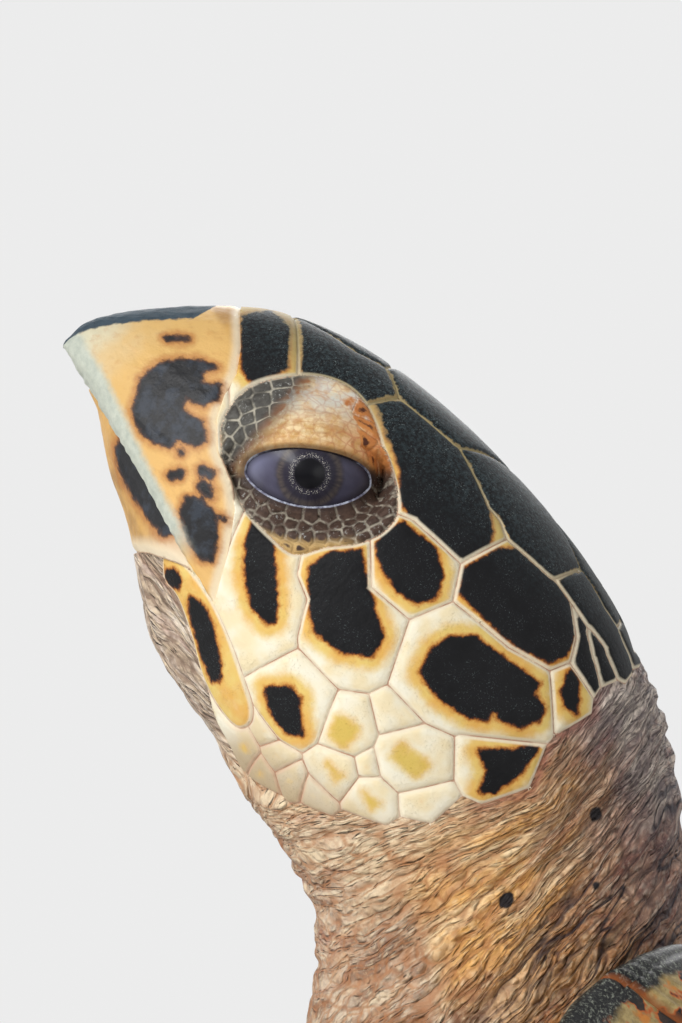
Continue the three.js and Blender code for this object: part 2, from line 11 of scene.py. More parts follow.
import bpy
import numpy as np
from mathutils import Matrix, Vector


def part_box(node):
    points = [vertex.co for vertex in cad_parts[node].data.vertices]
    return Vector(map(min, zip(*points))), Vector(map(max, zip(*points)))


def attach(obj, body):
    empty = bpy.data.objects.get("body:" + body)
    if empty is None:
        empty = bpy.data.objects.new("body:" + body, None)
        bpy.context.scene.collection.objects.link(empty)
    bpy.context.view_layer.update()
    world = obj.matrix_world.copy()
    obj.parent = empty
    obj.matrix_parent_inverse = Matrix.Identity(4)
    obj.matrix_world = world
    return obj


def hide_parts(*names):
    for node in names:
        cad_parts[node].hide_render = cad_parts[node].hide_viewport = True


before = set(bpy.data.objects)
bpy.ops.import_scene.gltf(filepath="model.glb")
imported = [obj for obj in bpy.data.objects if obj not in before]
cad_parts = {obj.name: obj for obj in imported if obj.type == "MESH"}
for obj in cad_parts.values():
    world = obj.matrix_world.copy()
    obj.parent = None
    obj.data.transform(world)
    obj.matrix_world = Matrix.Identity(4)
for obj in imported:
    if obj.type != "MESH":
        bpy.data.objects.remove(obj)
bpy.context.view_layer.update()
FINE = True

# ------------------------------------------------------------------ driving dimensions, as the frame has them
HALF_LENGTH, HALF_WIDTH, DOME = 330, 243, 122
BODY_PITCH, BODY_HEIGHT = math.radians(52), 452
HEAD_DROOP, HEAD_TURN = math.radians(14), math.radians(10)
BEAK_TIP = (536, 3)
TURN_FROM, TURN_TO, TURN_PIVOT = 324, 386, 356
MM = 0.001
SIDES = {"left": 1, "right": -1}


# ------------------------------------------------------------------ sums on arrays of points
def smooth(low, high, value):
    """0 below low, 1 above high, and an even S between them."""
    t = np.clip((value - low) / (high - low), 0, 1)
    return t * t * (3 - 2 * t)


def ridge(distance, width):
    """1 where the distance is 0, dying away over a width."""
    return np.exp(-(distance / width) ** 2)


def turns(count):
    """Angles that divide a circle evenly."""
    return np.arange(count) / count * 2 * np.pi


def columns(rows):
    """The columns of a table, each to be spread over the rings' other axis."""
    return (rows[:, i:i + 1] for i in range(rows.shape[1]))


def spline(rows, t):
    """Catmull-Rom through the rows of a table, at row numbers t."""
    rows, t = np.asarray(rows, float), np.atleast_1d(np.asarray(t, float))
    last = len(rows) - 1
    i = np.clip(np.floor(t).astype(int), 0, last - 1)
    k = (t - i)[:, None]
    a, b, c, d = (rows[np.clip(i + n, 0, last)] for n in (-1, 0, 1, 2))
    bend = (2 * a - 5 * b + 4 * c - d) * k ** 2 + (3 * b - a - 3 * c + d) * k ** 3
    return 0.5 * (2 * b + (c - a) * k + bend)


def on_head(s, h):
    """The (f, u) place of a point of the head's own measures."""
    c, d = math.cos(HEAD_DROOP), math.sin(HEAD_DROOP)
    return BEAK_TIP[0] - c * s + d * h, BEAK_TIP[1] + d * s + c * h


def off_head(points):
    """The head's own (s, h) of points in the body frame."""
    c, d = math.cos(HEAD_DROOP), math.sin(HEAD_DROOP)
    back, up = BEAK_TIP[0] - points[:, 1], points[:, 2] - BEAK_TIP[1]
    return c * back + d * up, c * up - d * back


def signed_distance(a, b, outline):
    """How far points (a, b) lie inside an outline; negative outside. One or two points enclose nothing."""
    corners = np.asarray(outline, float)
    nearest = np.full(len(a), np.inf)
    inside = np.zeros(len(a), bool)
    for (ax, ay), (bx, by) in zip(corners, np.roll(corners, -1, axis=0)):
        run, rise = bx - ax, by - ay
        share = np.clip(((a - ax) * run + (b - ay) * rise) / max(run * run + rise * rise, 1e-9), 0, 1)
        nearest = np.minimum(nearest, np.hypot(a - ax - share * run, b - ay - share * rise))
        if rise:
            inside ^= ((ay > b) != (by > b)) & (a < ax + (b - ay) * run / rise)
    return np.where(inside, nearest, -nearest)


def stain(a, b, shapes):
    """How deep points lie in any of some shapes, each an outline and how far it swells."""
    depth = np.full(len(a), -60.0)
    for outline, swell in shapes:
        depth = np.maximum(depth, signed_distance(a, b, outline) + swell)
    return depth


def lattice(cells, seed):
    """A repeatable number from 0 to 1 for each row of three whole numbers."""
    x, y, z = (cells[..., i].astype(np.int64) for i in range(3))
    n = (x * 73856093) ^ (y * 19349663) ^ (z * 83492791) ^ (seed * 40503)
    n = ((n ^ (n >> 13)) * 1274126177) & 0xFFFFFFFF
    n = ((n ^ (n >> 15)) * 668265263) & 0xFFFFFFFF
    return (n ^ (n >> 16)) / 0xFFFFFFFF


def noise(points, size, seed=0):
    """Smooth noise from -1 to 1, with lumps of a size that may differ along each axis."""
    scaled = points / np.asarray(size, float)
    whole = np.floor(scaled)
    part = scaled - whole
    part = part * part * (3 - 2 * part)
    total = 0
    for corner in np.ndindex(2, 2, 2):
        weight = np.prod(np.where(corner, part, 1 - part), axis=1)
        total = total + weight * lattice(whole + corner, seed)
    return 2 * total - 1


def cobbles(points, size, seed=0):
    """Cells like cobblestones: how far in from a cell's edge a point is."""
    scaled = points / np.asarray(size, float)
    whole = np.floor(scaled)
    first, second = np.full(len(points), 9.0), np.full(len(points), 9.0)
    for step in np.ndindex(3, 3, 3):
        cell = whole + np.array(step) - 1
        jitter = np.stack([lattice(cell, seed + 17 * n) for n in range(3)], 1)
        away = np.linalg.norm(cell + 0.15 + 0.7 * jitter - scaled, axis=1)
        second = np.where(away < first, first, np.minimum(second, away))
        first = np.minimum(first, away)
    return second - first


# ------------------------------------------------------------------ meshes as arrays of points and triangles
def edges_of(faces):
    """The edges as pairs of points, and for each triangle the numbers of its edges ab, bc and ca."""
    pairs = np.stack([faces, np.roll(faces, -1, axis=1)], axis=-1).reshape(-1, 2)
    pairs.sort(axis=1)
    keys = pairs[:, 0].astype(np.int64) * (int(faces.max()) + 1) + pairs[:, 1]
    _, first, inverse = np.unique(keys, return_index=True, return_inverse=True)
    return pairs[first], inverse.reshape(-1, 3)


def split(points, faces, edges, sides, chosen, share):
    """Puts a new point on each chosen edge, at a share of the way along, and re-cuts the triangles."""
    middle = np.full(len(edges), -1)
    middle[chosen] = len(points) + np.arange(chosen.sum())
    near, far = points[edges[chosen, 0]], points[edges[chosen, 1]]
    points = np.concatenate([points, near + (far - near) * share[:, None]])
    marks = middle[sides]
    count = (marks >= 0).sum(1)

    def rolled(rows, start):
        order = (start[:, None] + np.arange(3)) % 3
        return np.take_along_axis(faces[rows], order, 1).T, np.take_along_axis(marks[rows], order, 1).T

    made = [faces[count == 0]]
    one = count == 1
    (a, b, c), (p, _, _) = rolled(one, np.argmax(marks[one] >= 0, axis=1))
    made += [np.stack(t, 1) for t in ((a, p, c), (p, b, c))]
    two = count == 2
    (a, b, c), (p, q, _) = rolled(two, (np.argmax(marks[two] < 0, axis=1) + 1) % 3)
    made += [np.stack(t, 1) for t in ((p, b, q), (a, p, q), (a, q, c))]
    three = count == 3
    (a, b, c), (p, q, r) = faces[three].T, marks[three].T
    made += [np.stack(t, 1) for t in ((a, p, r), (p, b, q), (r, q, c), (p, q, r))]
    return points, np.concatenate(made)


def refine(points, faces, longest):
    """Halves every edge that is longer than allowed at its middle."""
    edges, sides = edges_of(faces)
    near, far = points[edges[:, 0], :3], points[edges[:, 1], :3]
    chosen = np.linalg.norm(far - near, axis=1) > longest((near + far) / 2)
    return split(points, faces, edges, sides, chosen, np.full(chosen.sum(), 0.5))


def clip(points, faces, field):
    """Keeps the part of a mesh where a field of its points is above 0, with a clean edge."""
    height = field(points)
    edges, sides = edges_of(faces)
    near, far = height[edges[:, 0]], height[edges[:, 1]]
    chosen = (near > 0) != (far > 0)
    share = near[chosen] / (near[chosen] - far[chosen])
    points, faces = split(points, faces, edges, sides, chosen, share)
    keep = field(points[faces].mean(1)) > 0
    return tidy(points, faces[keep])


def tidy(points, faces):
    """Drops the points that no triangle uses."""
    used, numbers = np.unique(faces, return_inverse=True)
    return points[used], numbers.reshape(-1, 3)


def relax(points, faces, times, moving=1.0, strength=0.5):
    """Evens the surface: each point moves towards the middle of its neighbours."""
    edges, _ = edges_of(faces)
    here = np.concatenate([edges[:, 0], edges[:, 1]])
    there = np.concatenate([edges[:, 1], edges[:, 0]])
    count = np.bincount(here, minlength=len(points))[:, None]
    weight = strength * np.broadcast_to(moving, len(points))[:, None]
    for _ in range(times):
        total = np.stack([np.bincount(here, points[there, k], len(points)) for k in range(3)], 1)
        points = points + weight * (total / count - points)
    return points


def corners_of(points, faces):
    """The places of the first, second and third corners of all triangles."""
    return (points[faces[:, i], :3] for i in range(3))


def normals(points, faces):
    """The outward direction at each point."""
    a, b, c = corners_of(points, faces)
    flat = np.cross(b - a, c - a)

    def gathered(axis):
        return sum(np.bincount(faces[:, j], flat[:, axis], len(points)) for j in range(3))

    total = np.stack([gathered(axis) for axis in range(3)], 1)
    return total / np.maximum(np.linalg.norm(total, axis=1, keepdims=True), 1e-12)


def doubled(facts):
    """The facts of an open surface, for the plate that thicken() makes of it."""
    return {key: np.concatenate([value, value]) for key, value in facts.items()}


def thicken(points, faces, depth, away=None):
    """A closed plate from an open surface: its back lies a depth behind it, along its normals."""
    back = points.copy()
    away = normals(points, faces) if away is None else away
    back[:, :3] -= away * np.broadcast_to(depth, len(points))[:, None]
    edges, sides = edges_of(faces)
    border = np.bincount(sides.ravel(), minlength=len(edges))[sides] == 1
    a, b = faces[border], np.roll(faces, -1, axis=1)[border]
    n = len(points)
    walls = [np.stack([b, a, a + n], 1), np.stack([b, a + n, b + n], 1)]
    return np.concatenate([points, back]), np.concatenate([faces, faces[:, ::-1] + n, *walls])


def loft(rings, cap_start=True, cap_end=True):
    """A skin over rings that all have as many points, with a fan at each end."""
    rows, around = rings.shape[:2]
    points = [rings.reshape(-1, 3)]
    i, j = np.meshgrid(np.arange(rows - 1), np.arange(around), indexing="ij")
    a, b = i * around + j, i * around + (j + 1) % around
    faces = [np.stack(t, -1).reshape(-1, 3) for t in ((a, b, b + around), (a, b + around, a + around))]
    ring, nxt = np.arange(around), (np.arange(around) + 1) % around
    count = rows * around
    if cap_start:
        points.append(rings[0].mean(0, keepdims=True))
        faces.append(np.stack([nxt, ring, np.full(around, count)], 1))
        count += 1
    if cap_end:
        start = (rows - 1) * around
        points.append(rings[-1].mean(0, keepdims=True))
        faces.append(np.stack([start + ring, start + nxt, np.full(around, count)], 1))
    return np.concatenate(points), np.concatenate(faces)


def facing_out(points, faces):
    """The faces of a closed mesh, turned outwards."""
    a, b, c = corners_of(points, faces)
    return faces if np.einsum("ij,ij->", a, np.cross(b, c)) > 0 else faces[:, ::-1]


# ------------------------------------------------------------------ territories: plates and scales
class Sites:
    """Circles in space: a point belongs to the one of least power, and circles of one group share theirs."""

    def __init__(self, centres, radii, groups):
        self.centres = np.asarray(centres, float)
        self.radii = np.asarray(radii, float)
        self.groups = np.asarray(groups)
        self.apart = np.linalg.norm(self.centres[:, None] - self.centres[None], axis=2)

    def power(self, points):
        square = (points ** 2).sum(1)[:, None] + (self.centres ** 2).sum(1)[None]
        return square - 2 * points @ self.centres.T - self.radii[None] ** 2

    def survey(self, points, chunk=12000):
        """The group that each point belongs to, and its distance from the border of it."""
        group, border = np.zeros(len(points), int), np.zeros(len(points))
        for start in range(0, len(points), chunk):
            rows = slice(start, start + chunk)
            power = self.power(points[rows])
            own = power.argmin(1)
            gap = power - power[np.arange(len(own)), own][:, None]
            reach = gap / np.maximum(2 * self.apart[own], 1e-6)
            reach[self.groups[None] == self.groups[own][:, None]] = np.inf
            group[rows], border[rows] = self.groups[own], reach.min(1)
        return group, border

    def split(self, points, faces, wanted):
        """Cuts the wanted part of a mesh along the borders, so that no triangle lies across one."""
        group = np.full(len(points), -1)
        group[wanted], _ = self.survey(points[wanted, :3])
        edges, sides = edges_of(faces)
        one, other = group[edges[:, 0]], group[edges[:, 1]]
        chosen = (one != other) & wanted[edges].all(1)
        power = [self.power(points[edges[chosen, end], :3]) for end in (0, 1)]
        near, far = (self.groups[None] == owner[chosen][:, None] for owner in (one, other))
        lead = [np.where(far, p, np.inf).min(1) - np.where(near, p, np.inf).min(1) for p in power]
        share = np.clip(lead[0] / np.where(lead[0] == lead[1], 1, lead[0] - lead[1]), 0.02, 0.98)
        return split(points, faces, edges, sides, chosen, share)


# ------------------------------------------------------------------ pieces in Blender
def to_world(points, turned):
    """From the body frame, in millimetres, to the world, in metres, with the head's turn if it has it."""
    x, y, z = points[:, 0], -points[:, 1], points[:, 2]
    if turned:
        angle = HEAD_TURN * smooth(TURN_FROM, TURN_TO, points[:, 1])
        axis = np.array([0, -math.sin(BODY_PITCH), math.cos(BODY_PITCH)])
        arm = np.stack([x, y + TURN_PIVOT, z], 1)
        cosine, sine = np.cos(angle)[:, None], np.sin(angle)[:, None]
        arm = arm * cosine + np.cross(axis, arm) * sine + axis * (arm @ axis)[:, None] * (1 - cosine)
        x, y, z = arm[:, 0], arm[:, 1] - TURN_PIVOT, arm[:, 2]
    c, d = math.cos(BODY_PITCH), math.sin(BODY_PITCH)
    return np.stack([x, y * c + z * d, BODY_HEIGHT - y * d + z * c], 1) * MM


def bare_mesh(name, points, faces):
    """A mesh of triangles, with no material."""
    mesh = bpy.data.meshes.new(name)
    mesh.vertices.add(len(points))
    mesh.vertices.foreach_set("co", np.ascontiguousarray(points, np.float32).ravel())
    mesh.loops.add(faces.size)
    mesh.loops.foreach_set("vertex_index", np.ascontiguousarray(faces, np.int32).ravel())
    mesh.polygons.add(len(faces))
    mesh.polygons.foreach_set("loop_start", np.arange(0, faces.size, faces.shape[1], dtype=np.int32))
    mesh.update(calc_edges=True)
    mesh.validate()
    return mesh


def add_object(name, mesh):
    made = bpy.data.objects.new(name, mesh)
    bpy.context.scene.collection.objects.link(made)
    return made


def make_piece(name, points, faces, materials, replaces=(), facts=None, kinds=None, place="body"):
    """One visible piece: a smooth mesh with its materials and the facts that they read from it.

    place is "body", "head" (with the head's turn) or "floor" (already in the world, in millimetres).
    """
    world = points[:, :3] * MM if place == "floor" else to_world(points[:, :3], place == "head")
    # The body frame is left-handed in (x, f, u), so its faces turn over on the way to the world.
    mesh = bare_mesh(name, world, faces if place == "floor" else faces[:, ::-1])
    for fact, values in (facts or {}).items():
        values = np.ascontiguousarray(values, np.float32)
        domain = "FACE" if len(values) == len(faces) else "POINT"
        kind, field = ("FLOAT_VECTOR", "vector") if values.ndim == 2 else ("FLOAT", "value")
        mesh.attributes.new(fact, kind, domain).data.foreach_set(field, values.ravel())
    for material in materials:
        mesh.materials.append(material)
    if kinds is not None:
        mesh.polygons.foreach_set("material_index", np.ascontiguousarray(kinds, np.int32))
    mesh.shade_smooth()
    piece = add_object(name + "_look", mesh)
    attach(piece, "root")
    if replaces:
        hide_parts(*replaces)
    return piece


def fused(solids, voxel):
    """One even skin round several closed meshes that overlap."""
    starts = np.cumsum([0] + [len(points) for points, _ in solids])
    points = np.concatenate([p for p, _ in solids])
    faces = np.concatenate([facing_out(p, f) + start for (p, f), start in zip(solids, starts)])
    piece = add_object("fusing", bare_mesh("fusing", points, faces))
    remesh = piece.modifiers.new("remesh", "REMESH")
    remesh.mode, remesh.voxel_size = "VOXEL", voxel
    made = piece.evaluated_get(bpy.context.evaluated_depsgraph_get()).to_mesh()
    points = np.empty(len(made.vertices) * 3, np.float32)
    made.vertices.foreach_get("co", points)
    made.calc_loop_triangles()
    faces = np.empty(len(made.loop_triangles) * 3, np.int32)
    made.loop_triangles.foreach_get("vertices", faces)
    bpy.data.objects.remove(piece)
    points, faces = points.reshape(-1, 3).astype(float), faces.reshape(-1, 3)
    return points, facing_out(points, faces)


# ------------------------------------------------------------------ head and neck
def head_row(s, h, s_low, h_low, *shape):
    return [*on_head(s, h), *on_head(s_low, h_low), *shape]


# Upper and lower outline, half width, how far up the widest level lies, squareness above and below it.
HEAD_AND_NECK = [
    head_row(0.0, 2.0, 0.4, -0.4, 1.3, 0.4, 2.0, 2.0),
    head_row(1.4, 8.4, 4.5, -2.2, 5.6, 0.3, 2.0, 1.8),
    head_row(5.8, 14.4, 10, -4.4, 10.2, 0.28, 2.0, 1.8),
    head_row(14, 22.8, 18.5, -8.5, 16.4, 0.28, 2.0, 1.9),
    head_row(24, 31.2, 28, -16.5, 22.5, 0.32, 2.0, 2.0),
    head_row(36, 39.4, 40, -24.4, 28.5, 0.36, 2.1, 2.0),
    head_row(52, 44.6, 52, -34.0, 34.5, 0.4, 2.2, 2.0),
    head_row(70, 46.8, 68, -43.6, 39.5, 0.42, 2.3, 2.0),
    head_row(90, 46.4, 84, -50.0, 44.5, 0.44, 2.3, 2.1),
    head_row(110, 43.9, 100, -56.2, 48, 0.46, 2.3, 2.2),
    head_row(130, 39.8, 115, -62.2, 49.5, 0.48, 2.2, 2.2),
    head_row(150, 33.2, 128, -67.2, 48.5, 0.5, 2.1, 2.1),
    head_row(168, 23.3, 138, -73.4, 46.5, 0.5, 2, 2),
    head_row(186, 9.0, 145, -81.5, 45.5, 0.5, 2, 2),
    [337, 44.5, 368, -48.5, 46, 0.5, 2, 2],
    [316, 30, 355, -61, 49, 0.5, 2, 2],
    [290, 24, 322, -69, 56, 0.5, 2, 2],
    [245, 18, 265, -70, 62, 0.5, 2, 2],
]
BEAK_ROWS = 9.6  # rows of the table that the beak reaches
JAW_INSET = 2.6  # the lower jaw closes inside the upper beak
SHEATH = 1.7  # thickness of the horn on both jaws
HORN_OVERLAP = 0.45  # how far in under the horn's edge the skin sinks away
HORN_LIFT = 0.15  # how far the horn stands out from the skin
MOUTH = [[-4, 0.5], [0, -0.8], [8, -3.6], [16.7, -6.4], [32, -11.6], [44, -16.6], [56, -21.6], [68.6, -26],
         [80, -31.6], [92, -39]]
MOUTH_BACK = [98, -43]
BEAK_BACK = [[70.5, -26.6], [69.3, -24], [66.3, -17], [63.7, -11.5], [60.3, -5.2], [55.5, -0.6], [48, 3.6],
             [43, 9.5], [40.7, 15.5], [40, 21], [36.5, 27], [31.2, 33], [28.5, 36.5], [27, 44]]
LOWER_BEAK_BACK = [[60, -23.4], [54, -25.5], [49, -27.5], [42, -33]]
EYE = {"s": 67.5, "h": 12.5, "x": 20.3, "radius": 19}
LIDS = {"x": 22.5, "along": 21, "high": 20, "out": 19.5}
OPENING = {"s": 69.3, "h": 11.6, "half": 15.6, "rise": 7.4, "fall": 7.2, "tilt": math.radians(32)}
ORBIT = {"s": 67, "h": 15, "along": 22, "high": 20}


def neck_rings(t, around, inset=0.0):
    """Rings of the head and neck at rows t of its table."""
    angle = turns(around)
    c, s = np.cos(angle)[None], np.sin(angle)[None]
    top_f, top_u, low_f, low_u, half, waist, square_top, square_low = columns(spline(HEAD_AND_NECK, t))
    power = 2 / np.where(c >= 0, square_top, square_low)
    up = waist + np.where(c >= 0, 1 - waist, waist) * np.sign(c) * np.abs(c) ** power
    x = np.maximum(half - inset, 0.6) * np.sign(s) * np.abs(s) ** power
    return np.stack([x, low_f + (top_f - low_f) * up, low_u + (top_u - low_u) * up], -1)


def almond(steps=48):
    """The outline of the eye's opening in (s, h)."""
    angle = turns(steps)
    above = np.sin(angle) > 0
    rise = np.where(above, OPENING["rise"], OPENING["fall"])
    along = OPENING["half"] * np.cos(angle)
    up = rise * np.sin(angle) * np.maximum(np.abs(np.sin(angle)), 1e-6) ** np.where(above, -0.25, 0.3)
    c, d = math.cos(OPENING["tilt"]), math.sin(OPENING["tilt"])
    return np.stack([OPENING["s"] + along * c - up * d, OPENING["h"] + along * d + up * c], 1)


ALMOND = almond()


def ellipsoid(middle, reach, around=48, rows=24):
    """A closed ellipsoid; middle and reach are in (x, f, u)."""
    angle = (np.arange(rows) + 0.5) / rows * np.pi
    turn = turns(around)
    ring = np.stack([
        np.sin(angle)[:, None] * np.cos(turn)[None], np.sin(angle)[:, None] * np.sin(turn)[None],
        np.repeat(np.cos(angle)[:, None], around, 1),
    ], -1)
    return loft(ring * reach + middle)


# ------------------------------------------------------------------ shell outline
RIM = [[0, 0.95, 45], [0.26, 0.996, 38], [0.5, 0.982, 13], [0.77, 0.81, -5], [0.94, 0.52, -10],
       [1, 0.18, -11], [0.97, -0.16, -10], [0.84, -0.49, -7], [0.61, -0.76, -1], [0.33, -0.95, 6],
       [0, -1.045, 11]]
MARGINALS, NUCHAL_ROWS = 12, 0.6
SERRATION = [-0.012, 0.02]
SCUTE, RIM_THICK, SCUTE_EDGE = 5, 7, 0.857
BELLY = [[10, 0.93, 0.9, 0.88], [-12, 0.93, 0.92, 0.88], [-38, 0.87, 0.91, 0.85], [-60, 0.76, 0.88, 0.8],
         [-75, 0.62, 0.82, 0.72], [-82, 0.36, 0.5, 0.45]]
PLASTRON = [[0, 264], [55, 258], [98, 226], [122, 165], [165, 120], [240, 108], [240, -92], [160, -108],
            [112, -150], [88, -206], [48, -256], [0, -270]]


def rim(around, toothed=True):
    """The rim's points, going round from the nuchal notch by the left side, and the row of each in RIM."""
    last = len(RIM) - 1
    t = np.abs(np.linspace(0, 2 * last, around, endpoint=False))
    side = np.where(t <= last, 1.0, -1.0)
    t = np.where(t <= last, t, 2 * last - t)
    x, f, u = spline(RIM, t).T
    plate = np.clip((t - NUCHAL_ROWS) / (last - NUCHAL_ROWS) * MARGINALS, 0, MARGINALS)
    tooth = np.where(t > NUCHAL_ROWS, plate % 1, 1)
    reach = SERRATION[1] + (SERRATION[0] - SERRATION[1]) * np.abs(2 * tooth - 1)
    reach = 1 + reach * smooth(4, 8, t) * (t < 9.8) * toothed
    return np.stack([side * np.maximum(x, 0) * HALF_WIDTH * reach, f * HALF_LENGTH * reach, u], 1), plate


def dome_height(edge_height, share):
    return edge_height * share ** 2 + DOME * np.maximum(np.cos(share * np.pi / 2), 0) ** 1.15


def belly_rings(inset, around, steps):
    edge, _ = rim(around, toothed=False)
    x, f, _ = edge.T
    u, side, front, rear = columns(spline(BELLY, np.linspace(0, len(BELLY) - 1, steps)))
    lengthwise = np.minimum((f / HALF_LENGTH) ** 2, 1)[None]
    share = side + (np.where(f[None] > 0, front, rear) - side) * lengthwise - inset / 200
    height = np.repeat(u + np.where(u < 0, inset, 0), around, 1)
    return np.stack([x[None] * share, f[None] * share, height], -1)


# ------------------------------------------------------------------ limbs
FRONT_FLIPPER = [[104, 248, -28, 96, 50], [158, 256, -38, 98, 45], [216, 243, -39, 102, 38],
                 [274, 208, -31, 110, 31], [326, 155, -20, 112, 24], [366, 92, -7, 98, 17],
                 [393, 26, 6, 72, 12], [409, -34, 17, 48, 8], [416, -76, 24, 27, 5], [418, -102, 28, 6, 3]]
HIND_FLIPPER = [[58, -205, -30, 58, 42], [92, -250, -32, 60, 38], [124, -296, -35, 70, 30],
                [150, -342, -40, 86, 21], [170, -388, -46, 94, 14], [184, -426, -52, 82, 9],
                [193, -450, -55, 52, 6], [197, -462, -57, 20, 3.5]]
CLAWS = {  # by limb: its rows, and each claw's row, length and thickness
    "front": (FRONT_FLIPPER, [[3.35, 17, 6.5], [4.3, 11, 5]]),
    "hind": (HIND_FLIPPER, [[3.1, 12, 5.5], [4.0, 9, 4.5]]),
}
TAIL = [[-215, -30, 34, 26], [-262, -33, 25, 19], [-300, -37, 16, 13], [-330, -41, 9, 8],
        [-347, -44, 2.5, 2.5]]
BLADE_EDGE = 1.5  # half the thickness that a blade keeps at its trailing edge


def blade_point(rows, t, across, over, side):
    """A limb's points: row t, across from -1 (trailing) to 1 (leading), over from -1 (below) to 1 (above)."""
    x, f, u, chord, thick = spline(rows, t).T
    last = len(rows) - 1
    ahead, behind = spline(rows, np.minimum(t + 0.05, last)), spline(rows, np.maximum(t - 0.05, 0))
    run = ahead[:, :2] - behind[:, :2]
    run = run / np.linalg.norm(run, axis=1, keepdims=True)
    along = across * chord / 2
    full = np.sqrt(np.maximum(1 - across ** 2, 0)) * (0.72 + 0.28 * across) * thick / 2
    rise = over * np.maximum(full, BLADE_EDGE * np.minimum(1, 4 * (1 - np.abs(across)) ** 0.5))
    return np.stack([side * (x - run[:, 1] * along), f + run[:, 0] * along, u + rise], 1)


def limb(rows, side, around=72, per_row=8):
    """A flipper, root to tip."""
    t = np.linspace(0, len(rows) - 1, (len(rows) - 1) * per_row + 1)
    angle = turns(around)
    t_all, angle_all = np.repeat(t, around), np.tile(angle, len(t))
    over = np.sign(np.sin(angle_all)) * np.minimum(1, 3 * np.abs(np.sin(angle_all)))
    across = np.cos(angle_all)
    return loft(blade_point(rows, t_all, across, over, side).reshape(len(t), around, 3))


def tail():
    rows = spline(TAIL, np.linspace(0, len(TAIL) - 1, 30))
    angle = turns(40)
    f, u, wide, high = columns(rows)
    return loft(np.stack([wide * np.cos(angle), f + 0 * angle, u + high * np.sin(angle)], -1))


# ------------------------------------------------------------------ the skin's shape
VOXEL = 2.0 if FINE else 3.0


def rough_skin():
    """The flesh of the whole animal in one even skin, in triangles of about the voxel's size."""
    solids = [loft(neck_rings(np.linspace(0, len(HEAD_AND_NECK) - 1, 170), 140))]
    f, u = on_head(EYE["s"], EYE["h"])
    for side in SIDES.values():
        solids.append(ellipsoid([side * LIDS["x"], f, u], [LIDS["out"], LIDS["along"], LIDS["high"]]))
        solids.append(limb(FRONT_FLIPPER, side))
        solids.append(limb(HIND_FLIPPER, side))
    solids.append(loft(belly_rings(5, 160, 24)))
    solids.append(tail())
    points, faces = fused(solids, VOXEL)
    return relax(points, faces, 6), faces


def in_head(points):
    """1 in the head and the neck that the shell leaves free, 0 in the rest of the body."""
    return smooth(300, 312, points[:, 1]) * smooth(130, 100, np.abs(points[:, 0]))


def build_skin_mesh():
    points, faces = rough_skin()

    def longest(middle):
        s, h = off_head(middle)
        free = in_head(middle) > 0.5
        orbit = np.hypot((s - ORBIT["s"]) / (ORBIT["along"] + 4), (h - ORBIT["h"]) / (ORBIT["high"] + 4)) < 1
        lids = free & orbit & (np.abs(middle[:, 0]) > 22)
        return np.where(lids, 0.75, np.where(free, 1.5, 9.0))

    for _ in range(3 if FINE else 1):
        points, faces = refine(points, faces, longest)
    moving = in_head(points)
    return relax(points, faces, 4, moving), faces


# ------------------------------------------------------------------ the plates of the head
def plate(circles, margin=1.5, blot=None, faint=None):
    """Circles (s, h, radius) or (x, s, h, radius), the width of its pale border, and its dark patch."""
    return {"circles": circles, "margin": margin, "blot": blot, "faint": faint}


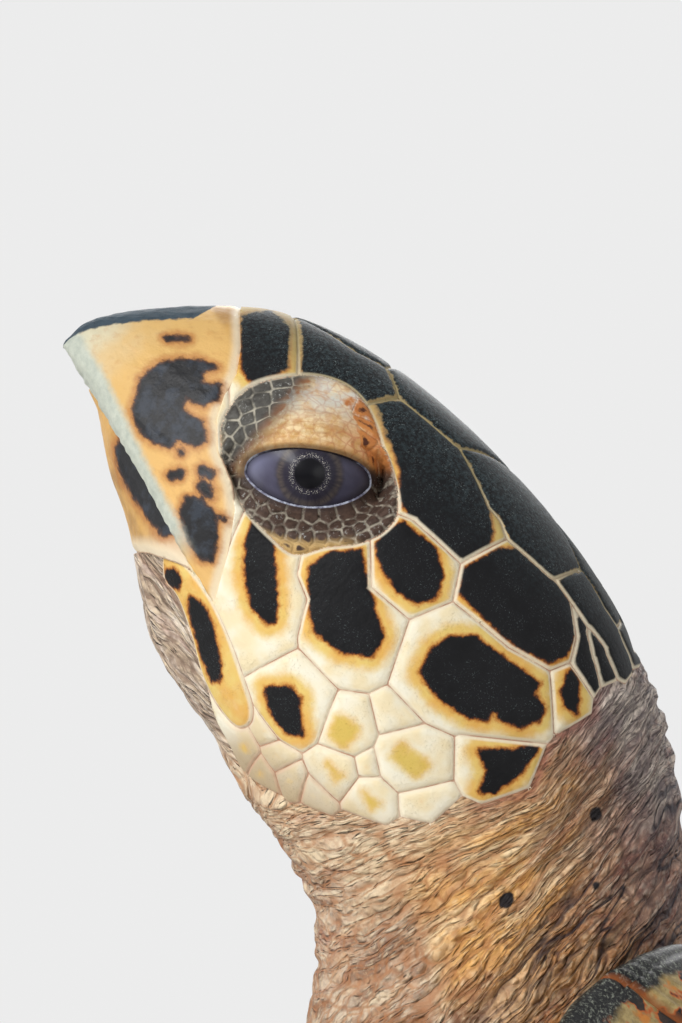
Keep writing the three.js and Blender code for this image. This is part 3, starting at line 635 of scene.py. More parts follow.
PLATES = {
    "beak": plate([(20, 10, 20), (55, -14, 11)], 60),
    "prefrontal_1": plate([(41, 31.2, 9)], 1.5, [
        (31.5, 33), (36, 38.6), (42.5, 38.4), (48.8, 29.8), (44.5, 21.5), (40.5, 22.6)]),
    "prefrontal_2": plate([(54.2, 39.4, 9), (64, 41.5, 8.5)], 1.0),
    "frontal": plate([(4, 61, 47, 9)], 0.4),
    "frontoparietal": plate([(7, 86, 49.5, 19)], 0.45),
    "supraocular": plate([(83, 36, 10), (96, 31, 13.5), (104, 26, 11.5)], 0.7, [
        (71, 36.5), (73.5, 39), (79, 43.5), (90, 42.5), (103, 37.5), (112, 29), (118, 19.5), (116.5, 16),
        (108, 12.5), (104, 13.5), (100, 16), (95, 19), (90.3, 21), (85.5, 27), (77.5, 32)]),
    "parietal": plate([(21.5, 109, 41.5, 14), (22, 121, 38, 14)], 0.4),
    "temporal_1": plate([(124, 19, 13.5), (134, 18.5, 12)], 2.0, [
        (113, 13), (112, 18), (116, 26.5), (120, 29.5), (135, 29), (143, 23.5), (144.5, 16), (142, 12.5),
        (133, 10.7), (119, 11.6)]),
    "postocular_1": plate([(102, 10, 12.5)], 2, [
        (91.5, 12), (94, 17.5), (104, 17), (109, 13), (111, 8), (108.5, 4.3), (103, 3.5), (97, 5.5),
        (92.5, 8.5)]),
    "postocular_2": plate([(90, 0, 10), (101, -10, 13)], 2, [
        (90, 6), (84.5, 1), (83, -5), (87.5, -11), (93, -16), (101, -16), (107.5, -12.5), (107, -7),
        (101, -3), (95, 1.5)]),
    "postocular_3": plate([(71, -10, 9), (80, -19, 9), (85, -26, 6)], 2, [
        (65.5, -4.3), (71.5, -5), (76, -9.5), (81, -15), (84.5, -20), (83, -22), (77.5, -20.5), (71, -15),
        (67, -9)]),
    "temporal_2": plate([(124, -2, 15), (139, 0, 13)], 2, [
        (117.5, -2), (119.5, 3), (124, 6.3), (135, 6.8), (143.5, 7.2), (143, 4.2), (147.5, 3.5), (148.5, 0),
        (145.5, -4.3), (140, -5.7), (138, -4), (138.5, -7.5), (134, -9.6), (126, -10.3), (119, -8.5)]),
    "tympanic_1": plate([(99, -33, 11)], 2, [
        (92.5, -34), (96.5, -30.2), (100, -30.5), (103, -34), (106.5, -37.5), (103, -39.5), (97.5, -38.4)]),
    "tympanic_2": plate([(113, -30, 7)], 2, [(111, -29), (115, -28.5), (115, -32.5), (112, -32.5)], 1.5),
    "tympanic_3": plate([(121.5, -19.5, 5)], 2, [(121.5, -19.5)], 3.6),
    "tympanic_4": plate([(130, -26, 8.5)], 2, [(126, -24.5), (134, -24.5), (133.5, -28), (126, -28)], 2.2),
    "tympanic_5": plate([(117.5, -39.5, 6)], 2, [(115, -39), (120, -39), (119, -41)], 2.6),
    "tympanic_6": plate([(128.5, -39.5, 6)], 2, [(126, -39), (131, -39), (130, -41)], 2.6),
    "tympanic_7": plate([(123, -34, 3.5)], 2, [(123, -34)], 3.4),
    "tympanic_8": plate([(138, -32, 5)], 2, [(138, -32)], 3.0),
    "nuchal_1": plate([(147, -13, 9.5)], 2, [
        (152, -3.5), (147.5, -9.5), (141, -14.5), (146, -17), (147.5, -22), (150.5, -20), (152.8, -12)]),
    "nuchal_2": plate([(150, 9, 6.5)], 2, [(147, 14.5), (150.5, 13.5), (155, 6.8), (151.5, 6.5),
                                           (148.5, 9)]),
    "nape_1": plate([(137, 32, 4), (143, 29.8, 4.6), (149.5, 27.2, 4.5), (155, 24, 3.4)], 0.45),
    "nape_2": plate([(141, 37, 3.4), (149, 33.6, 4), (156, 29.6, 4), (161, 26.8, 3)], 0.45),
    "nape_3": plate([(142, 23, 2.3), (147, 20, 3), (151, 17.2, 3)], 0.45),
    "nape_4": plate([(150.4, 22.4, 2.4), (153.8, 20.2, 2.8)], 0.45),
    "nape_5": plate([(8, 137, 37.5, 6), (9, 147, 35, 6)], 0.45),
    "jaw_3": plate([(98.5, -42.5, 3.4)], 2, [(98.5, -42.5)], 3.6),
    "jaw_4": plate([(97.5, -49.5, 3.6)], 2, [(97.5, -49.5)], 2.4),
    "jaw_5": plate([(104.8, -45.6, 3.4)], 2, [(104.8, -45.6)], 3.4),
    "jaw_6": plate([(104.6, -52, 3.2)], 2, [(104.6, -52)], 3.0),
    "jaw_7": plate([(111, -48.4, 3.6)], 2, [(111, -48.4)], 3.4),
    "jaw_8": plate([(117.5, -47.8, 3.2)], 2, [(117.5, -47.8)], 4.0),
}
# Plates with an outline of their own, which they cut out of their neighbours.
OUTLINED = {
    "orbit": [(43.5, 15), (45, 8.5), (50, 3), (57, -1.2), (63, -3.6), (71, -4.8), (78, -4.6), (83, 1.5),
              (88.5, 7), (91.5, 13), (91, 19), (84.5, 25), (79, 28.7), (74.3, 32.3), (68.4, 35.2),
              (62, 35.6), (55.4, 33), (49.7, 28), (44.8, 21.5)],
    "jaw": [(51, -26.5), (57, -24.6), (62, -25.2), (68, -26.6), (75, -29.4), (81, -32.8), (87, -36.6),
            (92.5, -40.6), (94.6, -44.5), (92.5, -47.6), (86, -46.8), (78, -43.5), (69, -37.5), (60.5, -33),
            (55, -32)],
}
JAW_BLOTS = [
    ([(54.3, -29), (56.4, -27.2), (59.3, -28.3), (59.8, -30.6), (57.6, -31.4), (55, -31)], 0.0),
    ([(63.5, -29.7), (67, -28.9), (72, -31), (79, -36), (82.6, -40.3), (81, -42), (76, -39.5), (68.5, -35),
      (65, -32.2)], 0.0),
]
# Circles of soft skin that bound the plates behind and below; a group of their own, with no scales.
SOFT_SKIN = [(167.5, 22.5, 6), (164.5, 13, 7), (164, 1, 7.5), (163.5, -9, 8), (160, -22, 8),
             (152, -34, 7.5), (144, -43, 7), (134, -50, 7.5), (123, -54.5, 5.5), (113, -57.5, 5.5),
             (103, -60, 5), (93.5, -55.5, 4), (80, -49.5, 4.5), (68, -43, 4.5), (56, -36, 4),
             (48, -31, 3.5)]
SOFT_CROWN = [(8, 161, 36, 8), (0, 170, 27, 8), (24, 170, 23, 6)]
# Creases of the bare lid: how far from the eye's opening, and how deep.
LID_FOLDS = [(3.4, 0.7), (6.6, 0.4), (9.6, 0.3)]
# Rows of scales round the eye: how far out from its opening, and the spacing.
LID_ROWS = [(1.6, 4.6), (4.2, 3.6), (7.0, 3.3), (10.0, 3.7), (13.4, 4.2), (17.2, 4.8)]


def rounded(outline, steps=5):
    """A closed outline with its corners rounded off."""
    count = len(outline)
    rows = [outline[n % count] for n in range(-2, count + 3)]
    return spline(rows, 2 + np.arange(count * steps) / steps)


OUTLINES = {name: rounded(outline) for name, outline in OUTLINED.items()}


def mirrored(circles, label, owners, radii, groups, surface):
    """Adds circles on both sides of the head, and finds the x of those that lie on its flank."""
    for circle in circles:
        x, s, h, radius = circle if len(circle) == 4 else (None, *circle)
        if x is None:
            near = np.argmin((surface[0] - s) ** 2 + (surface[1] - h) ** 2)
            x = surface[2][near]
        f, u = on_head(s, h)
        for side in (1, -1) if x else (1,):
            owners.append([side * x, f, u])
            radii.append(radius)
            groups.append(label if side > 0 else -label)


def flank(points):
    """The (s, h, x) of the points on the left of the head."""
    s, h = off_head(points)
    chosen = (points[:, 0] > 1) & (s > -5) & (s < 190) & (np.abs(h) < 90)
    return s[chosen], h[chosen], points[chosen, 0]


SKIN_GROUP = len(PLATES) + 1


def head_sites(surface):
    centres, radii, groups = [], [], []
    for label, spec in enumerate(PLATES.values(), start=1):
        mirrored(spec["circles"], label, centres, radii, groups, surface)
    mirrored(SOFT_SKIN + SOFT_CROWN, SKIN_GROUP, centres, radii, groups, surface)
    return Sites(centres, radii, np.where(np.abs(groups) == SKIN_GROUP, SKIN_GROUP, groups))


def lid_share(s, h):
    """1 on the bare upper lid, 0 among the small scales round it."""
    above = (h - OPENING["h"]) - 0.75 * (s - OPENING["s"])
    above = above + 3 * noise(np.stack([s, h, 0 * s], 1), 3.5, 3)
    return smooth(-1, 6, above) * smooth(51, 59, s) * smooth(91, 82, s)


def lid_sites(surface):
    """Small scales in rows round the eye's opening: fine in front, below and behind, wide on the lid."""
    centres = []
    for row, (out, spacing) in enumerate(LID_ROWS):
        middle = ALMOND.mean(0)
        away = ALMOND - middle
        ring = middle + away * (1 + out / np.linalg.norm(away, axis=1, keepdims=True))
        closed = np.concatenate([ring, ring[:1]])
        steps = np.linalg.norm(np.diff(closed, axis=0), axis=1)
        lid = lid_share(*(closed[1:] + closed[:-1]).T / 2)
        length = np.concatenate([[0], np.cumsum(steps / (1 + 1.1 * lid))])
        count = int(length[-1] / spacing)
        number = np.arange(count)
        wobble = lattice(np.stack([number, 0 * number + row, 0 * number], 1), 5) - 0.5
        places = (number + 0.5 * (row % 2)) / count * length[-1] + wobble * spacing * 0.35
        centres += list(zip(np.interp(places, length, closed[:, 0]), np.interp(places, length, closed[:, 1])))
    found = []
    for s, h in centres:
        near = np.argmin((surface[0] - s) ** 2 + (surface[1] - h) ** 2)
        f, u = on_head(s, h)
        found += [[side * surface[2][near], f, u] for side in SIDES.values()]
    return Sites(found, np.zeros(len(found)), np.arange(len(found)))


# ------------------------------------------------------------------ the scales of the limbs
# Rows of scales along a blade: how far across from the trailing (-1) to the leading edge (1), spacing.
FRONT_SCALE_ROWS = [(0.9, 17), (0.62, 13), (0.36, 9.5), (0.12, 8), (-0.1, 7.5), (-0.3, 8), (-0.52, 9.5),
                    (-0.8, 14)]
HIND_SCALE_ROWS = [(0.88, 13), (0.55, 10), (0.25, 8), (-0.05, 7.5), (-0.35, 8.5), (-0.75, 12)]
LIMB_SCALES = [(FRONT_FLIPPER, FRONT_SCALE_ROWS, 3), (HIND_FLIPPER, HIND_SCALE_ROWS, 8)]  # the last is a seed


def limb_sites(rows, scale_rows, side, seed):
    """Scale centres on both faces of a limb."""
    t = np.linspace(0.7, len(rows) - 1.15, 400)
    middle = blade_point(rows, t, 0 * t, 0 * t, side)
    run = np.concatenate([[0], np.cumsum(np.linalg.norm(np.diff(middle, axis=0), axis=1))])
    chord = spline(rows, t)[:, 3]
    centres = []
    for row, (across, spacing) in enumerate(scale_rows):
        for over in (1, -1):
            place, k = spacing * (0.2 + 0.5 * (row % 2)), 0
            while place < run[-1]:
                shrink = np.interp(place, run, (chord / 105) ** 0.6)
                jitter = lattice(np.array([[k, row, over], [k, row, over + 9]]), seed) - 0.5
                t_here = np.interp(place + jitter[0] * spacing * 0.3, run, t)
                here = np.array([np.clip(across + jitter[1] * 0.07, -0.93, 0.93)])
                centres.append(blade_point(rows, np.array([t_here]), here, np.array([float(over)]), side)[0])
                place += spacing * max(shrink, 0.45)
                k += 1
    return Sites(centres, np.zeros(len(centres)), np.arange(len(centres)))


def on_limb(points, rows, side):
    """How far along a limb's rows each point lies, and how far it is from the limb's middle line."""
    t = np.linspace(0, len(rows) - 1, 120)
    line = blade_point(rows, t, 0 * t, 0 * t, side)
    nearest, row = np.full(len(points), np.inf), np.zeros(len(points))
    for place, here in zip(line, t):
        away = np.linalg.norm(points - place, axis=1)
        closer = away < nearest
        nearest, row = np.where(closer, away, nearest), np.where(closer, here, row)
    return row, nearest


# ------------------------------------------------------------------ the skin with its scales
HEAD_KIND, SOFT_KIND = 0, 1  # numbers of the skin's materials
FIRST_OUTLINED = 100  # group of the first plate with an outline of its own, which is the orbit
SEAMLESS, LEAST_INK, MOST_INK = 9.0, -8.0, 6.0  # far from any seam, and the range of depths in dark patches
FLESH = ["head", "neck", "shoulders", "hips", "tail", "lower_jaw", "front_flipper_left",
         "front_flipper_right", "hind_flipper_left", "hind_flipper_right"]


def eye_surface(s, h):
    """The x of the eyeball's outer face."""
    square = EYE["radius"] ** 2 - (s - EYE["s"]) ** 2 - (h - EYE["h"]) ** 2
    return EYE["x"] + np.sqrt(np.maximum(square, 0.5))


def on_flank(points):
    """Whether points are on a side of the head, away from its middle."""
    return (in_head(points) > 0.5) & (np.abs(points[:, 0]) > 12)


def by_orbit(s, h):
    return np.hypot(s - ORBIT["s"], h - ORBIT["h"]) < 30


def set_lids(points):
    """Folds the skin in round each eye's opening, down behind the eyeball."""
    s, h = off_head(points)
    near = by_orbit(s, h) & on_flank(points)
    inside = np.full(len(points), -60.0)
    inside[near] = signed_distance(s[near], h[near], ALMOND)
    out, side = -inside, np.sign(points[:, 0])
    ball = eye_surface(s, h)
    lid = ball + 0.5 + 1.3 * smooth(-0.9, 1.6, out)
    skin = np.abs(points[:, 0])
    x = np.where(out < 9, lid + (np.maximum(skin, lid) - lid) * smooth(0.8, 6.5, out), skin)
    x = np.where(out < -0.3, ball + 0.75 - 7.5 * smooth(0.2, 2.4, -out), x)
    points = points.copy()
    points[near, 0] = (side * x)[near]
    return points, out, near


def along_outline(points, faces, outline, wanted, level=0.0):
    """Cuts a mesh along an outline of the head's flank, or along the line at a depth inside it."""
    s, h = off_head(points)
    depth = np.full(len(points), -60.0)
    depth[wanted] = signed_distance(s[wanted], h[wanted], outline) - level
    edges, sides = edges_of(faces)
    near, far = depth[edges[:, 0]], depth[edges[:, 1]]
    chosen = ((near > 0) != (far > 0)) & wanted[edges].all(1)
    share = np.clip(near[chosen] / (near[chosen] - far[chosen]), 0.02, 0.98)
    return split(points, faces, edges, sides, chosen, share)


def scaled_skin():
    """The skin cut along the seams of its scales, and the sites that those grow from."""
    points, faces = build_skin_mesh()
    surface = flank(points)
    plates = head_sites(surface)
    points, faces = plates.split(points, faces, in_head(points) > 0.5)
    for outline in OUTLINES.values():
        points, faces = along_outline(points, faces, outline, on_flank(points))
    for outline in (beak_outline(), lower_beak_outline()):
        for depth in (0, HORN_OVERLAP):
            points, faces = along_outline(points, faces, outline, in_head(points) > 0.5, depth)
    s, h = off_head(points)
    lids = lid_sites(surface)
    orbit = on_flank(points) & by_orbit(s, h)
    orbit[orbit] = signed_distance(s[orbit], h[orbit], OUTLINES["orbit"]) > -0.5
    points, faces = lids.split(points, faces, orbit)
    rooted = []
    for side in SIDES.values():
        for rows, scale_rows, seed in LIMB_SCALES:
            sites = limb_sites(rows, scale_rows, side, seed)
            row, mine = limb_part(points, rows, side)
            points, faces = sites.split(points, faces, mine & (row > 0.8))
            rooted.append((sites, rows, side))
    return points, faces, plates, lids, rooted


def limb_part(points, rows, side):
    """How far along a limb's rows the points lie, and which of them are on it."""
    front = rows is FRONT_FLIPPER
    near = points[:, 0] * side > (100 if front else 50)
    near &= (points[:, 1] > -140) if front else (points[:, 1] < -180)
    row, away = np.zeros(len(points)), np.full(len(points), 99.0)
    row[near], away[near] = on_limb(points[near], rows, side)
    return row, near & (away < 75)


def horn_line(s):
    """The height of the mouth's line at a distance back from the tip."""
    line = np.array(MOUTH + [MOUTH_BACK], float)
    return np.interp(s, line[:, 0], line[:, 1])


def plate_facts(points, plates):
    """For each point of the head: its plate's number, its distance from a seam, its depth in a dark patch
    and whether that patch is only a faint one."""
    s, h = off_head(points)
    group, seam = plates.survey(points)
    group = np.abs(group)
    ink, faint = np.full(len(points), LEAST_INK), np.zeros(len(points))
    for label, spec in enumerate(PLATES.values(), start=1):
        own = group == label
        depth = seam[own] - spec["margin"]
        if spec["blot"]:
            depth = np.minimum(depth + 1.2, signed_distance(s[own], h[own], spec["blot"]))
        if spec["faint"]:
            depth = np.minimum(depth, 0.4) - spec["faint"]
            faint[own] = 1
        ink[own] = depth
    flank_ = on_flank(points)
    for number, (name, outline) in enumerate(OUTLINES.items()):
        depth = np.full(len(points), -60.0)
        depth[flank_] = signed_distance(s[flank_], h[flank_], outline)
        own = depth > 0
        seam = np.where(own, depth, np.minimum(seam, np.abs(depth)))
        group[own] = FIRST_OUTLINED + number
        faint[own] = 0
        if name == "jaw":
            ink[own] = np.maximum(stain(s[own], h[own], JAW_BLOTS), -1.9)
    return group, seam, np.clip(ink, LEAST_INK, MOST_INK), faint


def grain(place):
    """Where soft skin lies across its folds and along them: they fan out from behind the crown."""
    x, s, h = place.T
    fan = np.where(s < 182, 182 + (s - 182) * 73 / np.maximum(28 - h, 42), s)
    neck = np.stack([fan, h, x], 1)
    chin = np.stack([175 + 1.2 * h + 0.8 * np.abs(x), s - 160, 0.3 * x], 1)
    return neck + (chin - neck) * smooth(114, 98, s)[:, None]


def soft_relief(place):
    """The folds and knobs of soft skin: their height, and how far each point is from a crease, where its
    colour is painted darker as shade.
    """
    s, h = place[:, 1], place[:, 2]
    throat = smooth(-48, -66, h) * smooth(152, 168, s) * smooth(230, 205, s)
    lines = grain(place)
    bent = lines + np.stack([3.0 * noise(lines, (16, 22, 22), 31), 0 * s, 0 * s], 1)
    fold = 1 - np.abs(noise(bent, (5.2, 30, 30), 21))
    fine = 1 - np.abs(noise(bent, (3.1, 13, 13), 22))
    wide = noise(bent, (17, 70, 60), 29)
    knob = cobbles(bent, (4.2, 8.5, 8.5), 23)
    lump = cobbles(bent, (5.0, 5.0, 5.0), 37)
    height = 0.9 * smooth(0.98, 0.55, fold) + 0.4 * smooth(0.98, 0.5, fine) + 0.9 * wide
    height = height + 0.25 * smooth(0, 0.6, knob) + throat * (1.2 * smooth(0.0, 0.6, lump) - 0.2)
    crease = np.minimum(1 - fold, 0.7 * (1 - fine) + 0.15)
    return height, np.minimum(crease * 1.4, np.where(throat > 0.5, lump, 1))


def under_horn(s, h):
    """How far the skin sinks away under the beak's horn and between the jaws, from 0 to 1."""
    depth = np.maximum(signed_distance(s, h, beak_outline()), signed_distance(s, h, lower_beak_outline()))
    between_jaws = smooth(1.6, 0.8, np.abs(h - horn_line(s))) * (s < LOWER_BEAK_BACK[0][0] - 1)
    return np.maximum(smooth(0, HORN_OVERLAP, depth), between_jaws)


def skin_piece(materials):
    """One skin for the head, the neck, the body's soft parts, the limbs and the tail."""
    points, faces, plates, lids, rooted = scaled_skin()
    points, opening, near_eye = set_lids(points)
    s, h = off_head(points)
    place = np.stack([points[:, 0], s, h], 1)
    head = in_head(points) > 0.5
    group, seam, ink = (np.full(len(points), value) for value in (SKIN_GROUP, SEAMLESS, LEAST_INK))
    tone, limb_share, under = (np.zeros(len(points)) for _ in range(3))
    # On the head, the tone says whether a plate's dark patch is only a faint one.
    group[head], seam[head], ink[head], tone[head] = plate_facts(points[head], plates)
    plate_seam = seam.copy()
    orbit = group == FIRST_OUTLINED
    _, lid_seam = lids.survey(points[orbit])
    lid = lid_share(s, h)
    in_orbit = signed_distance(s[orbit], h[orbit], OUTLINES["orbit"])
    scallop = smooth(6.0, 4.0, in_orbit) * smooth(60, 70, s[orbit])
    seam[orbit] = np.minimum(seam[orbit], lid_seam + 1.5 * lid[orbit] * (1 - scallop))
    ink[orbit] = np.minimum(seam[orbit], 2) - 4 * (1 - scallop) * lid[orbit]
    soft = group == SKIN_GROUP
    relief, crease = soft_relief(place)

    upper = normals(points, faces)
    for sites, rows, side in rooted:
        row, mine = limb_part(points, rows, side)
        group_here, seam[mine] = sites.survey(points[mine])
        tone[mine] = lattice(np.stack([group_here, 0 * group_here, 0 * group_here], 1), 5)
        limb_share[mine] = smooth(0.8, 1.5, row[mine])
    plated = head & ~soft
    rise = np.where(plated, 0.45 * (1 - np.exp(-seam / 2)) - 0.55 * ridge(seam, 0.7), 0)
    rise = np.where(orbit, 0.35 * (1 - np.exp(-seam / 0.8)) - 0.5 * ridge(plate_seam, 1.0), rise)
    bent = opening + 0.7 * noise(place, 6, 12)
    lid_folds = sum(depth * ridge(bent - middle, 0.6) for middle, depth in LID_FOLDS)
    rise = rise - lid_folds * lid * orbit
    scaly = 0.7 * (1 - np.exp(-seam / 1.6)) - 0.75 * ridge(seam, 0.9)
    soft_rise = relief * smooth(0, 5, plate_seam) * (1 - limb_share) + scaly * limb_share
    rise = np.where(plated, rise, soft_rise - 0.5 * ridge(plate_seam, 1.2) * head)

    under_shell = smooth(-16, -6, points[:, 2]) * smooth(250, 215, points[:, 1]) * (1 - limb_share)
    rise = rise * (1 - under_shell) - 3.0 * under_shell
    below_mouth = smooth(0.3, -1.2, h - horn_line(s)) * smooth(104, 92, s) * head
    rise = rise - below_mouth * (0.5 + 2.1 * smooth(88, 52, s))
    # A loose flap of folded skin under the chin, blunt in front.
    flap = np.interp(s, [44, 47, 56, 64, 71, 78, 90], [0, 2.0, 2.9, 3.6, 2.7, 1.5, 0])
    rise = rise + below_mouth * flap * smooth(19, 8, np.abs(points[:, 0])) * soft
    under[head] = under_horn(s[head], h[head])
    rise = np.where(under > 0, rise * (1 - under) - (SHEATH + 0.5) * under, rise)
    inside_lid = near_eye & (opening < 1.5)
    rise = np.where(inside_lid, rise * smooth(0.2, 1.5, opening), rise)
    points = points + upper * rise[:, None]

    sure = plate_seam > 0.05
    kinds = np.where((soft & sure)[faces].sum(1) > (plated & sure)[faces].sum(1), SOFT_KIND, HEAD_KIND)
    return make_piece(
        "skin", points, faces, materials, FLESH,
        {"place": place, "seam": seam, "ink": ink, "crease": crease, "tone": tone, "limb": limb_share,
         "orbit": orbit.astype(float), "lid": np.clip(opening, -3, 30), "bare": lid * orbit,
         "upper": upper[:, 2], "grain": grain(place)},
        kinds, "head")


def beak_outline():
    """The upper beak's side view in (s, h)."""
    return [p for p in MOUTH if p[0] < BEAK_BACK[0][0]] + BEAK_BACK + [(-6, 46)]


def lower_beak_outline():
    """The lower beak's side view in (s, h), from the mouth's line down."""
    lip = [corner for corner in MOUTH if 12 < corner[0] < LOWER_BEAK_BACK[0][0]]
    return [(12, -40), (12, horn_line(12)), *lip, *LOWER_BEAK_BACK, (42, -40)]


# ------------------------------------------------------------------ horn of the jaws
BEAK_STAINS = [
    ([(22, 6), (23, 11), (26, 15), (30, 18), (35.5, 19.5), (33, 16), (34.5, 14), (38.5, 16.5), (40, 13.5),
      (38.5, 10), (33.5, 9), (35, 6), (41, 6.5), (44.3, 3.8), (43, 1), (39, 0), (38, -3), (34, -4.6),
      (29, -4.2), (25, -1.5)], 0.3),
    ([(49, -10), (52, -8), (57, -9), (61, -13), (63.5, -18), (60.5, -19.7), (55, -17.5), (50, -14)], 0.3),
    ([(20.5, 17.5), (24.8, 20.4)], 0.8),
    ([(48.2, -2.6), (49.8, -2.2)], 1.4), ([(50.3, -5.3), (53, -5.8)], 1.3), ([(41, -2.4)], 0.9),
    ([(42.8, -8), (44, -6.6)], 1.2), ([(58, -8.8), (60, -8.4)], 0.5),
]
LOWER_STAIN = [([(26, -8), (34, -10.5), (44, -15), (51, -19.5), (50, -21), (43, -19.5), (34, -16.5),
                 (28, -12.5)], 0.4)]


def horn_surface(inset):
    """The front of the head's surface, fine enough for the beak."""
    points, faces = loft(neck_rings(np.linspace(0, BEAK_ROWS, 190), 300, inset), cap_end=False)
    return points, facing_front(points, faces)


def facing_front(points, faces):
    """The faces of an open mesh, turned away from the head's middle."""
    middle = points[faces].mean(1)
    a, b, c = corners_of(points, faces)
    outwards = np.einsum("ij,ij->i", np.cross(b - a, c - a), middle - points.mean(0))
    return faces if outwards.sum() > 0 else faces[:, ::-1]


def horn_piece(name, outline, inset, material, replaced, facts_of):
    """The horn of one jaw: a thick shell cut from the head's surface, rounded over at its rim."""
    points, faces = horn_surface(inset)
    lined = np.concatenate([points, normals(points, faces)], 1)
    lined, faces = clip(lined, faces, lambda p: signed_distance(*off_head(p), outline))
    points, away = lined[:, :3], lined[:, 3:]
    s, h = off_head(points)
    place = np.stack([points[:, 0], s, h], 1)
    rim_distance = signed_distance(s, h, outline)
    wear = 0.12 * noise(place, (3, 9, 3), 41) + 0.08 * noise(place, (1.2, 4, 1.2), 42)
    fray = 0.35 * noise(place, (9, 1.3, 9), 43) * smooth(3.5, 0.5, h - horn_line(s))
    round_over = -0.75 * ridge(rim_distance, 1.2)
    points = points + away * (HORN_LIFT + wear + fray * (inset == 0) + round_over)[:, None]
    facts = {"place": place, **facts_of(place)}
    depth = SHEATH * smooth(-1.5, 3, rim_distance) + 0.9
    points, faces = thicken(points, faces, depth, away)
    return make_piece(name, points, faces, [material], [replaced], doubled(facts), None, "head")


def upper_beak_facts(place):
    """The upper beak's stains, its ridge, and how far its cutting and rear edges are."""
    _, s, h = place.T
    top = spline(HEAD_AND_NECK, np.linspace(0, BEAK_ROWS, 200))[:, :2]
    top_s, top_h = off_head(np.stack([0 * top[:, 0], top[:, 0], top[:, 1]], 1))
    below_top = np.interp(s, top_s, top_h) - h
    culmen = 4.0 + 0.03 * s - below_top - 9 * smooth(22, 27, s)
    rear = -signed_distance(s, h, [(27, 60), *BEAK_BACK[::-1], (200, -60), (200, 60)])
    ink = np.clip(stain(s, h, BEAK_STAINS), LEAST_INK, MOST_INK)
    return {"ink": ink, "ridge": culmen, "edge": h - horn_line(s), "rear": rear}


def lower_beak_facts(place):
    """The same for the lower beak, whose ridge and cutting edge are out of sight."""
    _, s, h = place.T
    far = 0 * s + 40
    rear = signed_distance(s, h, [(60, 60), *LOWER_BEAK_BACK, (42, -60), (-40, -60), (-40, 60)])
    ink = np.clip(stain(s, h, LOWER_STAIN), LEAST_INK, MOST_INK)
    # An edge this far gives the whole lower beak the darker gold that is painted shade.
    return {"ink": ink, "ridge": -far, "edge": far, "rear": 0.6 * rear}


# ------------------------------------------------------------------ eyes
IRIS = {"s": 69, "h": 12.8, "radius": 8.3, "pupil": 3.9, "swell": 1.3}


def eye_piece(name, side, material):
    """A ball whose clear front swells a little over the iris."""
    f, u = on_head(EYE["s"], EYE["h"])
    angle = np.concatenate([np.linspace(0.004, 0.62, 90), np.linspace(0.63, 3.13, 50)])
    turn = turns(120)
    ball = np.stack([np.cos(angle)[:, None] + 0 * turn, np.sin(angle)[:, None] * np.cos(turn),
                     np.sin(angle)[:, None] * np.sin(turn)], -1) * EYE["radius"]
    points, faces = loft(ball)
    points = points * [side, 1, 1] + [side * EYE["x"], f, u]
    s, h = off_head(points)
    outer = points[:, 0] * side > EYE["x"]
    away = np.hypot(s - IRIS["s"], h - IRIS["h"]) + 40 * ~outer
    points[:, 0] += side * IRIS["swell"] * smooth(IRIS["radius"] + 1.5, 0, away)
    place = np.stack([s - IRIS["s"], h - IRIS["h"], points[:, 0]], 1)
    inside = signed_distance(s, h, ALMOND)
    # The lid fact is how far out of the opening a point is; the eye's colour paints the lids' shade from it.
    return make_piece(name, points, facing_out(points, faces), [material], [name],
                      {"place": place, "away": away, "lid": -inside}, None, "head")


# ------------------------------------------------------------------ claws
def claw_piece(name, rows, spec, side, material):
    """A curved cone that grows out of the leading edge and bends towards the tip."""
    t, length, thick = spec
    (x, f, u, chord, _), nxt = spline(rows, t)[0], spline(rows, t + 0.05)[0]
    run = (nxt[:2] - [x, f]) / np.linalg.norm(nxt[:2] - [x, f])
    share = np.linspace(0, 1, 26)[:, None]
    angle = turns(28)
    out, sweep = chord / 2 - 5 + length * share, length * 0.45 * share ** 2
    radius = thick / 2 * (1 - 0.93 * share ** 1.6) * (1 + 0.12 * ridge(share - 0.25, 0.12))
    across = np.cos(angle) * radius
    rings = np.stack([
        side * (x - run[1] * out + run[0] * (sweep + across)), f + run[0] * out + run[1] * (sweep + across),
        u - 1.5 * share + np.sin(angle) * radius * 1.15], -1)
    points, faces = loft(rings)
    along = np.concatenate([np.repeat(share[:, 0], 28), [0, 1]])
    return make_piece(name, points, facing_out(points, faces), [material], [name], {"along": along})


# ------------------------------------------------------------------ shell
VERTEBRALS = [(226, 66), (116, 62), (-6, 62), (-126, 56), (-236, 54)]  # (f, radius), front to rear
COSTALS = [(140, 178, 78), (156, 56, 76), (146, -64, 74), (112, -178, 70)]  # (x, f, radius) on the left
SCUTES = {f"vertebral_scute_{number}": (0, *row) for number, row in enumerate(VERTEBRALS, start=1)}
for number, (x, f, radius) in enumerate(COSTALS, start=1):
    for side_name, side in SIDES.items():
        SCUTES[f"costal_scute_{side_name}_{number}"] = (side * x, f, radius)
# The rim's underside, from the edge inwards: share of the way out, and depth below the edge.
RIM_UNDERSIDE = [(0.96, 8), (0.93, 10), (0.9, 12), (0.86, 14), (0.7, 15), (0.5, 16), (0.25, 16), (0.02, 16)]
OVERLAP = 11  # how far a scute's rear edge lies over the next one
SCUTE_LIFT = 3.4  # how far that edge stands up
SCUTE_THICK = 2.6


